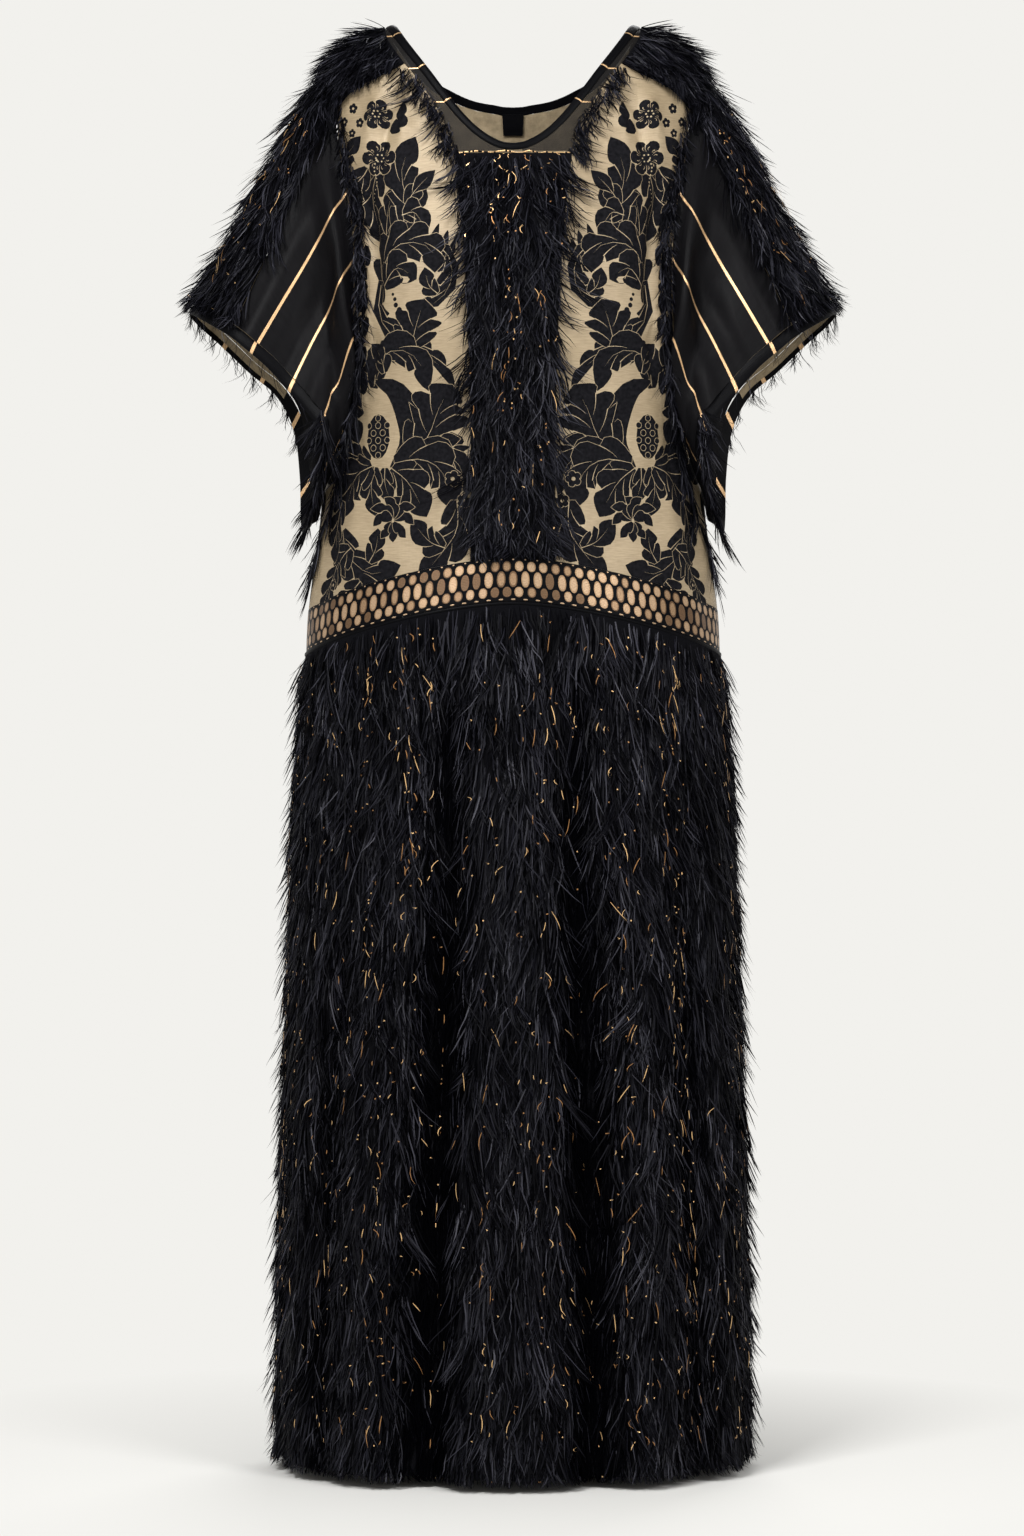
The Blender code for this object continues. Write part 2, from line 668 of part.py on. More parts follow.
def fringe(name, place, strands, thickness, finish, ends=(1.0, 1.0)):
    """Strands that hang from a narrow strip, each a four-sided spike.

    place(share, drop, out) is a point: share along the strip, drop down a strand from 0 at the strip to 1 at the
    tip, and out off the cloth. ends are the lengths of the first and last strands, beside the middle one's 1."""
    mesh = bmesh.new()

    def pair(share, drop):
        return [mesh.verts.new(place(share, drop, out)) for out in (0.0, thickness)]

    shares = spread(0.0, 1.0, strands)
    tops = [pair(share, -STRIP_DROP) for share in shares]
    feet = [pair(share, 0.0) for share in shares]
    for i in range(strands):
        for k in (0, 1):
            mesh.faces.new((tops[i][k], tops[i + 1][k], feet[i + 1][k], feet[i][k]))
        mesh.faces.new((tops[i][0], tops[i + 1][0], tops[i + 1][1], tops[i][1]))
        middle = (i + 0.5) / strands
        long = (0.84 + 0.16 * wobble(i, 2)) * (ends[0] * (1 - middle) + ends[1] * middle)
        tip = mesh.verts.new(place(middle + 0.45 / strands * wobble(i, 7), long, 1.5 * thickness))
        root = (*feet[i], *reversed(feet[i + 1]))
        for corner, following in zip(root, root[1:] + root[:1]):
            mesh.faces.new((corner, following, tip))
    for end in (0, -1):
        mesh.faces.new((*tops[end], *reversed(feet[end])))
    return finished(name, mesh, finish)


# ---- Seams that pieces share ---------------------------------------------------------------------------------


def neck_line(outer=True):
    """The neck binding's inner or outer edge on the wearer's left, from the centre front to the centre back."""
    spots = [
        spot_at(row.front, row.x_out if outer else row.x, row.z_out if outer else row.z) for row in NECK
    ]
    spots[NECK_RIDGE_ROW].y = 0.0
    return stations(spots)


def neck_between(first, last):
    return neck_line()[first * STATIONS : last * STATIONS + 1]


def placket_line():
    foot = band_line(True, 0.0, [PLACKET_HALF_ANGLE])[0]
    return stations([spot_at(*row) for row in PLACKET_SEAM] + [foot])


def yoke_top_line():
    ridge = neck_between(NECK_RIDGE_ROW, NECK_RIDGE_ROW)[0]
    return stations([spot_at(*row) for row in YOKE_TOP_SEAM] + [ridge])


def shoulder_front_line():
    return stations([spot_at(*row) for row in SHOULDER_FRONT_SEAM] + [armhole(TOP_FRONT_ROW)])


def shoulder_back_line():
    start = neck_between(NECK_BACK_ROW, NECK_BACK_ROW)[0]
    rows = [spot_at(*row) for row in SHOULDER_BACK_SEAM]
    return stations([start] + rows + [armhole(TOP_BACK_ROW)])


def around(*lines):
    """One outline from seams that follow on from each other, without the points that repeat."""
    found = []
    for line in lines:
        for spot in line:
            if not found or (spot - found[-1]).length > 1e-6:
                found.append(spot)
    return found[:-1] if (found[0] - found[-1]).length < 1e-6 else found


# ---- Pieces --------------------------------------------------------------------------------------------------


def even(thickness):
    return lambda spot: thickness


def lumpy(reach):
    """The height of pile that lies in tufts all ways."""
    return lambda spot: reach * (0.82 + 0.18 * wobble(round(spot.x * 3), round(spot.y * 500)))


def front_panel(name, side, finish):
    outline = around(
        placket_line()[::-1],
        seam(YOKE_SEAM),
        shoulder_front_line(),
        armhole_line(TOP_FRONT_ROW, UNDERARM_ROW),
        band_line(True, 0.0, band_angles(PLACKET_HALF_ANGLE))[::-1],
    )
    panel(name, body_on(side), outline, FRONT_SPACING, even(CLOTH), finish)


def yoke(name, side, finish):
    foot = spot_at(True, NECK[NECK_YOKE_ROW].x_out, PIPING_TOP)
    outline = around(
        [foot],
        neck_between(NECK_YOKE_ROW, NECK_RIDGE_ROW),
        yoke_top_line()[::-1],
        seam(YOKE_SEAM)[::-1],
    )
    panel(name, body_on(side), outline, FRONT_SPACING, even(SHEER), finish)


def shoulder(name, side, finish):
    outline = around(
        yoke_top_line(),
        neck_between(NECK_RIDGE_ROW, NECK_BACK_ROW),
        shoulder_back_line(),
        armhole_line(TOP_BACK_ROW, ROWS),
        armhole_line(0, TOP_FRONT_ROW),
        shoulder_front_line()[::-1],
    )
    panel(name, body_on(side), outline, SHOULDER_SPACING, lumpy(SHOULDER_PILE), finish)


def back_panel(finish):
    left = around(
        neck_between(NECK_BACK_ROW, len(NECK) - 1)[::-1],
        shoulder_back_line(),
        armhole_line(TOP_BACK_ROW, UNDERARM_ROW)[:-1],
        [ARM_BACK[0]],
    )
    foot = band_line(False, 0.0, band_angles())
    outline = around(left, foot[::-1], mirrored(left)[::-1])
    panel("back_panel", body_on(1), outline, BACK_SPACING, even(CLOTH), finish)


def placket(finish):
    surface = body_on(1)
    edge = placket_line()
    top_angles = spread(-edge[0].x, edge[0].x, PLACKET_COLUMNS)[1:-1]
    top = [Vector((a, over_at(a, PLACKET_TOP, True))) for a in top_angles]
    foot = band_line(True, 0.0, band_angles(-PLACKET_HALF_ANGLE, PLACKET_HALF_ANGLE))
    edge = surface.inset(around(edge, foot[::-1], mirrored(edge)[::-1], top), SEAM / 2)[: len(edge)]

    def line_at(down):
        end = spline(edge, down * (len(edge) - 1))
        spots = []
        for share in spread(-1.0, 1.0, PLACKET_COLUMNS):
            angle = end.x * share
            rise = (band_top(angle, True) - band_top(end.x, True)) * ramp(down, 0.5, 1.0)
            spots.append(Vector((angle, over_at(angle, body(*end).z + rise, True))))
        return spots

    pile_wall("front_placket", surface, line_at, PLACKET_TUFTS, PLACKET_INNER_LINES, PLACKET_PILE, finish)


def placket_piping(finish):
    surface = body_on(1)
    half = spot_at(True, YOKE_SEAM[0].x, PIPING_TOP).x
    angles = spread(-half, half, PLACKET_COLUMNS)
    lines = [
        [Vector((a, over_at(a, z, True))) for a in angles]
        for z in (PIPING_TOP - SEAM / 2, PLACKET_TOP + SEAM / 2)
    ]
    grid_wall("placket_piping", surface, lines, 0.0, PIPING, finish)


def neck_binding(finish):
    surface = body_on(1)
    loops = [line + mirrored(line[1:-1])[::-1] for line in (neck_line(False), neck_line(True))]
    loops[1] = surface.inset(loops[1], SEAM / 2)
    grid_wall("neck_binding", surface, loops, 0.0, BINDING, finish, closed=True)


def neck_label(finish):
    surface = body_on(1)
    lines = [
        [spot_at(False, x, z) for x in spread(-LABEL_WIDTH / 2, LABEL_WIDTH / 2, 2)]
        for z in (LABEL_TOP, LABEL_TOP - LABEL_HEIGHT)
    ]
    grid_wall("neck_label", surface, lines, -LABEL_IN - SHEER, -LABEL_IN, finish)


def side_angles(depth):
    """The band's stations, from side seam to side seam with its gap."""
    side = 90.0 - math.degrees(SEAM / 2 / depth)
    return band_angles(-side, side)


def hip_band(name, front, finish):
    angles = side_angles(SIDE_DEPTH)
    lines = [band_line(front, b, angles) for b in (SEAM / 2, BAND_HEIGHT - SEAM / 2)]
    grid_wall(name, body_on(1), lines, 0.0, BAND, finish)


def skirt(name, front, finish):
    angles = side_angles(SIDE_DEPTH)

    def line_at(down):
        spots = []
        for angle in angles:
            top = band_top(angle, front) - BAND_HEIGHT - SEAM / 2
            spots.append(Vector((angle, over_at(angle, top + (-LENGTH - top) * down, front))))
        return spots

    clear = HEM_CLEAR / (LENGTH + band_top(90.0, front) - BAND_HEIGHT)
    pile_wall(name, body_on(1), line_at, SKIRT_TUFTS, SKIRT_INNER_LINES, PILE, finish, clear=clear)


def sleeve_spots(first, last, line_shares):
    """A grid of spots between two rows of the sleeve, from the armhole seam to the hem binding's seam."""
    rows = spread(first, last, abs(last - first) * STATIONS)
    rows[0] += ROW_SEAM
    rows[-1] -= ROW_SEAM

    def line_at(share):
        spots = []
        for row in rows:
            start = sleeve_share(row, ARM_SEAM, 0.0)
            end = 1 - sleeve_share(row, CUFF + SEAM / 2, 1.0)
            spots.append(Vector((row, start + (end - start) * share)))
        return spots

    return [line_at(share) for share in line_shares] if line_shares else line_at


def sleeve_pieces(name, side, satin, pile):
    surface = sleeve_on(side)
    shares = spread(0.0, 1.0, SLEEVE_LINES)
    front = sleeve_spots(TOP_FRONT_ROW, UNDERARM_ROW, shares)
    back = sleeve_spots(UNDERARM_ROW, TOP_BACK_ROW, shares)
    grid_wall(f"sleeve_front_{name}", surface, front, -CLOTH, 0.0, satin)
    grid_wall(f"sleeve_back_{name}", surface, back, -CLOTH, 0.0, satin)
    top = sleeve_spots(TOP_BACK_ROW, ROWS + TOP_FRONT_ROW, None)
    top_surface = SleeveTop(sleeve, surface.steps, 1, side)
    counts = SLEEVE_TUFTS, SLEEVE_INNER_LINES
    pile_wall(f"sleeve_top_{name}", top_surface, top, *counts, SHOULDER_PILE, pile, root=0.8)
    rows = spread(0.0, ROWS, ROWS * STATIONS)[:-1]
    cuff = [
        [Vector((row, 1 - sleeve_share(row, width, 1.0))) for row in rows]
        for width in (CUFF - SEAM / 2, 0.0)
    ]
    grid_wall(f"sleeve_binding_{name}", surface, cuff, -CLOTH, BINDING - CLOTH, satin, closed=True)


def sleeve_fringe(name, side, finish):
    """Threads that hang from the sleeve's hem, longest under the arm."""
    surface = sleeve_on(side)
    chords = (HEM_FRINGE_START - HEM_FRINGE_END) * STATIONS

    def below_hem(row, past, out):
        return surface.out(Vector((row, 1 + sleeve_share(row, past, 1.0))), out - CLOTH)

    def place(share, drop, out):
        """On the same chords as the binding's edge."""
        past = SEAM + FRINGE_STRIP * min(1.0, 1 + drop / STRIP_DROP)
        chord = min(int(share * chords + 1e-6), chords - 1)
        rows = [HEM_FRINGE_START - (chord + i) / STATIONS for i in (0, 1)]
        point = below_hem(rows[0], past, out).lerp(below_hem(rows[1], past, out), share * chords - chord)
        return point + Vector((0, 0, -SLEEVE_FRINGE * max(0.0, drop)))

    fringe(name, place, 2 * chords, CLOTH, finish, ends=(1.5, 0.8))


def laid_fringe(name, side, line, trim, finish):
    """Pile strands on a strip that lies on the body along a line of spots."""
    surface = body_on(side)

    def place(share, drop, out):
        spot = spline(line, share * (len(line) - 1))
        way = trim.fall * max(0.0, drop) + FRINGE_STRIP * min(0.0, drop) / STRIP_DROP
        lean = trim.slant * way / METRES_PER_UNIT.x
        return surface.out(spot + Vector((lean, way)), CLOTH + TRIM_CLEAR + out)

    fringe(name, place, trim.strands, STRAND, finish)


def trims(name, side, finish):
    inward = Vector((-ARM_TRIM / METRES_PER_UNIT.x, 0))
    armhole_edge = [spot + inward for spot in armhole_line(*ARMHOLE_TRIM_ROWS)]
    armhole_edge += [Vector((low.angle, over_at(low.angle, low.z, True))) for low in SIDE_TRIM]
    laid_fringe(f"armhole_fringe_{name}", side, armhole_edge, ARMHOLE_TRIM, finish)
    yoke_edge = [spot + YOKE_TRIM_SHIFT for spot in seam(YOKE_SEAM)]
    laid_fringe(f"yoke_fringe_{name}", side, yoke_edge, YOKE_TRIM, finish)


def build():
    satin = material("satin", (0.012, 0.012, 0.015), 0.45)
    damask = material("damask", (0.42, 0.34, 0.22), 0.42, 0.25)
    organza = material("organza", (0.030, 0.027, 0.026), 0.55)
    pile = material("pile", (0.010, 0.010, 0.015), 0.60)
    gold = material("gold_thread", (0.70, 0.45, 0.20), 0.35, 0.8)
    jacquard = material("hip_band", (0.45, 0.26, 0.12), 0.38, 0.4)
    for side, name in SIDES:
        front_panel(f"front_panel_{name}", side, damask)
        yoke(f"yoke_{name}", side, organza)
        shoulder(f"shoulder_{name}", side, pile)
        sleeve_pieces(name, side, satin, pile)
        sleeve_fringe(f"sleeve_fringe_{name}", side, satin)
        trims(name, side, pile)
    back_panel(damask)
    placket(pile)
    placket_piping(gold)
    neck_binding(satin)
    neck_label(satin)
    for front, name in ((True, "front"), (False, "back")):
        hip_band(f"hip_band_{name}", front, jacquard)
        skirt(f"skirt_{name}", front, pile)


SIDES = ((1, "left"), (-1, "right"))
for old in list(bpy.data.objects):
    bpy.data.objects.remove(old)
KAFTAN = bpy.data.collections.new("kaftan")
bpy.context.scene.collection.children.link(KAFTAN)
build()
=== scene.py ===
"""The looks of a floor-length kaftan: damask, organza, satin, a woven band and long cut-thread pile.

All is in the part's frame: metres, +Z up, the front faces -Y, the wearer's left is +X, and the origin is
midway between the two high shoulder points. Bodice and skirt lie on the surface body(), the sleeves on
sleeve(). A place on a surface is a spot, with two coordinates. Shapes are worked out with numpy, for many
spots at once.
"""

import math
from collections import namedtuple

import bpy
import numpy as np
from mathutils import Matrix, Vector
from mathutils.geometry import delaunay_2d_cdt
from mathutils.kdtree import KDTree


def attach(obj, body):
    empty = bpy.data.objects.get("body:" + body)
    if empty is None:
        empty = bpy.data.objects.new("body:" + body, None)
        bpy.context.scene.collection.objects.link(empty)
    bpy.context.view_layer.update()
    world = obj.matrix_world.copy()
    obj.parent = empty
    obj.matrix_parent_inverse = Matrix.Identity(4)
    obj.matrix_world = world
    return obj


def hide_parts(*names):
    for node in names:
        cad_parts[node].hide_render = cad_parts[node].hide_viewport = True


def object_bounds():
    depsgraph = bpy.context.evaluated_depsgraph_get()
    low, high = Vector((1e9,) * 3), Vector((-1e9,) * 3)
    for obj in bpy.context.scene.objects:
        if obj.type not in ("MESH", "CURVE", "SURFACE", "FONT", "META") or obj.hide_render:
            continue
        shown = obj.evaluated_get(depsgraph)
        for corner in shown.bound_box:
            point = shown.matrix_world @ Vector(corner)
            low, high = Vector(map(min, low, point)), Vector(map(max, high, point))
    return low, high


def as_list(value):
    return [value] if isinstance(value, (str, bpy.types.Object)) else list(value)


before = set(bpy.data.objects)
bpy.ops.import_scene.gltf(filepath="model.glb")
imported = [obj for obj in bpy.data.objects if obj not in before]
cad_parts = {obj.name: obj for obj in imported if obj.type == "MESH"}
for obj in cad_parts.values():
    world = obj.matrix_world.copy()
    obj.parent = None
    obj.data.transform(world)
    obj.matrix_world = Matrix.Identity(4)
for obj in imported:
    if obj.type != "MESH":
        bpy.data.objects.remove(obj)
CAD_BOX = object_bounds()
MM = 0.001
QUARTER = math.pi / 2

# ---- The part's own sizes and tables --------------------------------------------------------------

LENGTH = 1.434
HEM_CLEAR = 0.008
CLOTH = 1.5 * MM
BINDING = 2.2 * MM
PILE = 13.0 * MM
SHOULDER_PILE = 11.0 * MM
PLACKET_PILE = 10.0 * MM
SEAM = 0.36 * MM
SQUARENESS = 2.25
SHOULDER_ROUND = 0.115
BAND_HEIGHT = 0.042
BAND_TOP = -0.584
BAND_LIFT_FRONT, BAND_LIFT_BACK = 0.047, -0.004
CUFF = 0.012
LABEL_WIDTH, LABEL_HEIGHT, LABEL_TOP = 0.022, 0.021, -0.0755
LABEL_IN = 1.5 * MM
ARM_TRIM = 0.018
DEGREE = 0.0032  # what a degree round the body measures, in metres

Section = namedtuple("Section", "z half_width front back")
SECTIONS = (
    Section(0.040, 0.180, 0.062, 0.062),
    Section(-0.060, 0.182, 0.072, 0.080),
    Section(-0.120, 0.182, 0.089, 0.093),
    Section(-0.200, 0.180, 0.116, 0.103),
    Section(-0.290, 0.181, 0.133, 0.104),
    Section(-0.400, 0.185, 0.128, 0.098),
    Section(-0.490, 0.191, 0.127, 0.100),
    Section(-0.585, 0.203, 0.133, 0.110),
    Section(-0.660, 0.206, 0.136, 0.117),
    Section(-0.800, 0.213, 0.146, 0.130),
    Section(-0.960, 0.219, 0.155, 0.142),
    Section(-1.150, 0.225, 0.163, 0.152),
    Section(-1.330, 0.229, 0.170, 0.160),
    Section(-1.500, 0.228, 0.174, 0.164),
)

Shoulder = namedtuple("Shoulder", "angle z")
SHOULDERS = (
    Shoulder(0, 0.022),
    Shoulder(20, 0.013),
    Shoulder(37, 0.002),
    Shoulder(46, -0.006),
    Shoulder(57, -0.018),
    Shoulder(68, -0.034),
    Shoulder(90, -0.062),
)

Fold = namedtuple("Fold", "front angle angle_low spread start full gone depth")
NEVER = -9.0
FOLDS = (
    Fold(True, -16, -22, 6.5, -0.57, -1.10, NEVER, 0.031),
    Fold(True, 16, 21, 6.0, -0.57, -1.05, NEVER, 0.029),
    Fold(True, -46, -52, 6.0, -0.62, -1.25, NEVER, 0.011),
    Fold(True, 44, 50, 6.5, -0.62, -1.20, NEVER, 0.012),
    Fold(True, -76, -74, 5.0, -0.66, -1.30, NEVER, 0.007),
    Fold(True, 76, 74, 5.0, -0.66, -1.25, NEVER, 0.007),
    Fold(False, -14, -17, 6.0, -0.60, -1.15, NEVER, 0.023),
    Fold(False, 22, 26, 6.5, -0.60, -1.10, NEVER, 0.025),
    Fold(False, -52, -56, 6.5, -0.62, -1.20, NEVER, 0.014),
    Fold(False, 62, 64, 6.0, -0.62, -1.25, NEVER, 0.012),
    Fold(True, -50, -47, 7.0, -0.09, -0.20, -0.37, 0.005),
    Fold(True, 50, 47, 7.0, -0.09, -0.20, -0.37, 0.005),
    Fold(True, -66, -68, 6.0, -0.44, -0.52, -0.64, 0.004),
    Fold(True, 66, 68, 6.0, -0.44, -0.52, -0.64, 0.004),
    Fold(False, -30, -26, 6.0, -0.10, -0.30, -0.56, 0.006),
    Fold(False, 30, 26, 6.0, -0.10, -0.30, -0.56, 0.006),
)

Point = namedtuple("Point", "front x z")
PLACKET_TOP = -0.1400
PIPING_TOP = -0.1368
PLACKET_HALF_ANGLE = 12.0
PLACKET_SEAM = (
    Point(True, 0.0585, PLACKET_TOP),
    Point(True, 0.0560, -0.160),
    Point(True, 0.0500, -0.215),
    Point(True, 0.0450, -0.290),
    Point(True, 0.0420, -0.370),
    Point(True, 0.0410, -0.450),
)
YOKE_SEAM = (
    Point(True, 0.0585, PIPING_TOP),
    Point(True, 0.0630, -0.118),
    Point(True, 0.0740, -0.094),
    Point(True, 0.0910, -0.066),
    Point(True, 0.1070, -0.045),
)
YOKE_TOP_SEAM = (
    Point(True, 0.1070, -0.045),
    Point(True, 0.1190, -0.027),
    Point(True, 0.1255, -0.0135),
)
SHOULDER_FRONT_SEAM = (
    Point(True, 0.1070, -0.045),
    Point(True, 0.1240, -0.054),
    Point(True, 0.1430, -0.062),
    Point(True, 0.1620, -0.073),
)
SHOULDER_BACK_SEAM = (
    Point(False, 0.1240, -0.050),
    Point(False, 0.1430, -0.062),
    Point(False, 0.1620, -0.075),
)

Neck = namedtuple("Neck", "front x z x_out z_out")
NECK = (
    Neck(True, 0.0000, -0.1290, 0.0000, -0.1363),
    Neck(True, 0.0080, -0.1282, 0.0090, -0.1355),
    Neck(True, 0.0165, -0.1250, 0.0190, -0.1322),
    Neck(True, 0.0320, -0.1150, 0.0360, -0.1215),
    Neck(True, 0.0520, -0.0940, 0.0585, -0.0985),
    Neck(True, 0.0800, -0.0550, 0.0870, -0.0590),
    Neck(True, 0.1070, -0.0170, 0.1150, -0.0205),
    Neck(True, 0.1185, 0.0010, 0.1275, -0.0040),
    Neck(False, 0.1080, -0.0130, 0.1165, -0.0170),
    Neck(False, 0.0850, -0.0400, 0.0910, -0.0470),
    Neck(False, 0.0640, -0.0535, 0.0670, -0.0620),
    Neck(False, 0.0370, -0.0640, 0.0380, -0.0725),
    Neck(False, 0.0000, -0.0690, 0.0000, -0.0780),
)
NECK_YOKE_ROW, NECK_RIDGE_ROW, NECK_BACK_ROW = 1, 7, 8

Loop = namedtuple("Loop", "front arm_x arm_z hem_x hem_y hem_z")
SLEEVE = (
    Loop(True, 0.1760, -0.0375, 0.3240, -0.002, -0.287),
    Loop(True, 0.1765, -0.0600, 0.3100, -0.040, -0.296),
    Loop(True, 0.1750, -0.0880, 0.2800, -0.066, -0.315),
    Loop(True, 0.1710, -0.1250, 0.2640, -0.073, -0.328),
    Loop(True, 0.1640, -0.1650, 0.2430, -0.076, -0.346),
    Loop(True, 0.1580, -0.2150, 0.2240, -0.078, -0.367),
    Loop(True, 0.1560, -0.2700, 0.2040, -0.086, -0.390),
    Loop(True, 0.1570, -0.3250, 0.1880, -0.094, -0.416),
    Loop(True, 0.1610, -0.3800, 0.1900, -0.076, -0.446),
    Loop(True, 0.1720, -0.4350, 0.2000, -0.041, -0.483),
    Loop(True, 0.1910, -0.4900, 0.2090, 0.002, -0.506),
    Loop(False, 0.1780, -0.4400, 0.2130, 0.034, -0.489),
    Loop(False, 0.1700, -0.3700, 0.2150, 0.053, -0.446),
    Loop(False, 0.1680, -0.3000, 0.2220, 0.060, -0.398),
    Loop(False, 0.1700, -0.2300, 0.2400, 0.064, -0.364),
    Loop(False, 0.1730, -0.1650, 0.2680, 0.062, -0.340),
    Loop(False, 0.1755, -0.0920, 0.2980, 0.050, -0.312),
    Loop(False, 0.1765, -0.0600, 0.3180, 0.028, -0.295),
)
TOP_FRONT_ROW, UNDERARM_ROW, TOP_BACK_ROW, ROWS = 2, 10, 16, len(SLEEVE)
ROOT_EASE = 0.12
ROOT_OUT = 2.3 * MM

Drape = namedtuple("Drape", "row row_spread along along_spread out")
DRAPES = (
    Drape(0.0, 2.2, 0.25, 0.25, 0.006),
    Drape(5.4, 2.3, 0.16, 0.13, 0.019),
    Drape(5.6, 2.0, 0.50, 0.14, -0.010),
    Drape(7.5, 1.2, 0.45, 0.30, 0.008),
    Drape(13.5, 2.4, 0.22, 0.18, 0.012),
    Drape(14.5, 2.0, 0.62, 0.16, -0.007),
)
SIDES = ((1, "left"), (-1, "right"))


# ---- Interpolation --------------------------------------------------------------------------------


def ramp(value, start, end):
    """0 before start, 1 after end, eased in between."""
    share = np.clip((value - start) / (end - start), 0.0, 1.0)
    return share * share * (3 - 2 * share)


def bell(value, spread):
    return np.exp(-((value / spread) ** 2))


def hermite(start, end, leave, arrive, share):
    square, cube = share * share, share**3
    return (
        start * (2 * cube - 3 * square + 1)
        + leave * (cube - 2 * square + share)
        + end * (3 * square - 2 * cube)
        + arrive * (cube - square)
    )


def by_key(rows, at):
    """A table's columns after the first, eased between its rows, in the result's last axis."""
    table = np.array(rows, float)
    if table[0, 0] > table[-1, 0]:
        table = table[::-1]
    keys, values = table[:, 0], table[:, 1:]
    at = np.clip(at, keys[0], keys[-1])
    cell = np.clip(np.searchsorted(keys, at, side="right") - 1, 0, len(keys) - 2)
    last = len(keys) - 1
    low, high = np.maximum(np.arange(last + 1) - 1, 0), np.minimum(np.arange(last + 1) + 1, last)
    slopes = (values[high] - values[low]) / (keys[high] - keys[low])[:, None]
    width = (keys[cell + 1] - keys[cell])[..., None]
    share = (at - keys[cell])[..., None] / width
    return hermite(values[cell], values[cell + 1], slopes[cell] * width, slopes[cell + 1] * width, share)


def spline(points, at):
    """A smooth curve through points, at places counted in points from the first."""
    points, at = np.asarray(points, float), np.asarray(at, float)
    last = len(points) - 1
    cell = np.clip(at.astype(int), 0, last - 1)
    start, end = points[cell], points[cell + 1]
    before = np.where((cell > 0)[..., None], points[np.maximum(cell - 1, 0)], 2 * start - end)
    after = np.where((cell < last - 1)[..., None], points[np.minimum(cell + 2, last)], 2 * end - start)
    return hermite(start, end, (end - before) / 2, (after - start) / 2, (at - cell)[..., None])


def stations(points, each=2):
    """The points of a smooth curve, with some more between each two."""
    return spline(points, np.arange((len(points) - 1) * each + 1) / each)


def unit(vectors):
    return vectors / np.maximum(np.linalg.norm(vectors, axis=-1, keepdims=True), 1e-12)


def spots(first, second):
    """Spots from two coordinates, which may be arrays."""
    return np.stack(np.broadcast_arrays(np.asarray(first, float), np.asarray(second, float)), -1)


# ---- The body's surface: a spot is (angle, over) --------------------------------------------------


def fold_line(fold, z):
    """The angle of a fold's deepest line at a height."""
    return fold.angle + (fold.angle_low - fold.angle) * ramp(-z, -fold.start, LENGTH)


def fold_depth(front, angle, z):
    depth = np.zeros(np.broadcast(angle, z).shape)
    for fold in FOLDS:
        share = ramp(-z, -fold.start, -fold.full)
        if fold.gone != NEVER:
            share = share * (1 - ramp(-z, -fold.full, -fold.gone))
        depth += (front == fold.front) * fold.depth * share * bell(angle - fold_line(fold, z), fold.spread)
    return depth


def body(angle, over):
    """Points of the body's cloth. angle is from the centre towards the wearer's left, in degrees, and over is
    the way over the shoulder, in metres: positive down the front, negative down the back."""
    front = over >= 0
    turn = np.minimum(abs(over) / SHOULDER_ROUND, QUARTER)
    straight = abs(over) - turn * SHOULDER_ROUND
    z = by_key(SHOULDERS, abs(angle))[..., 0] - SHOULDER_ROUND * (1 - np.cos(turn)) - straight
    half_width, front_depth, back_depth = np.moveaxis(by_key(SECTIONS, z), -1, 0)
    sine, cosine = np.sin(np.radians(angle)), abs(np.cos(np.radians(angle)))
    reach = (abs(sine) ** SQUARENESS + cosine**SQUARENESS) ** (-1 / SQUARENESS)
    x = half_width * reach * sine
    y = np.where(front, -front_depth, back_depth) * reach * cosine * np.sin(turn)
    outwards = unit(np.stack([x, y * 1.6, np.zeros_like(x)], -1))
    return np.stack([x, y, z], -1) - outwards * fold_depth(front, angle, z)[..., None]


def over_at(angle, z, front):
    """The way over the shoulder to a height."""
    drop = np.maximum(0.0, by_key(SHOULDERS, abs(angle))[..., 0] - z)
    bent = SHOULDER_ROUND * np.arccos(np.clip(1 - drop / SHOULDER_ROUND, -1, 1))
    way = np.where(drop < SHOULDER_ROUND, bent, drop + SHOULDER_ROUND * (QUARTER - 1))
    return way if front else -way


def spot_at(front, x, z):
    """The spot of the body at a distance from the centre line and a height."""
    share = abs(x) / by_key(SECTIONS, np.float64(z))[0]
    if share < 1e-6:
        angle = 0.0
    elif share > 1 - 1e-6:
        angle = 90.0
    else:
        cotangent = (share**-SQUARENESS - 1) ** (1 / SQUARENESS)
        angle = math.degrees(math.atan2(1, cotangent))
    return np.array([math.copysign(angle, x), over_at(np.float64(angle), z, front)])


def seam(rows):
    return stations([spot_at(*row) for row in rows])


def mirrored(line):
    return line * (-1, 1)


def band_top(angle, front):
    """Height of the hip band's upper edge, which dips towards the sides in front."""
    centred = 1 - abs(np.sin(np.radians(angle))) ** 1.7
    return BAND_TOP + (BAND_LIFT_FRONT if front else BAND_LIFT_BACK) * centred


def band_line(front, below, angles):
    """Spots round the body, this far below the hip band's upper edge."""
    angles = np.asarray(angles, float)
    return spots(angles, over_at(angles, band_top(angles, front) - below, front))


# ---- The sleeve's surface: a spot is (row, along) -------------------------------------------------


def armhole_spots():
    """The armhole's two halves on the body: down the front to the underarm, and up the back."""
    found = [spot_at(row.front, row.arm_x, row.arm_z) for row in SLEEVE]
    top = np.array([found[0][0], 0.0])
    low = np.array([90.0, found[UNDERARM_ROW][1]])
    front = [top] + found[1:UNDERARM_ROW] + [low]
    back = [low * (1, -1)] + found[UNDERARM_ROW + 1 :] + [top]
    return np.array(front), np.array(back)


ARM_FRONT, ARM_BACK = armhole_spots()
HEM_POINTS = np.array([[row.hem_x, row.hem_y, row.hem_z] for row in SLEEVE])


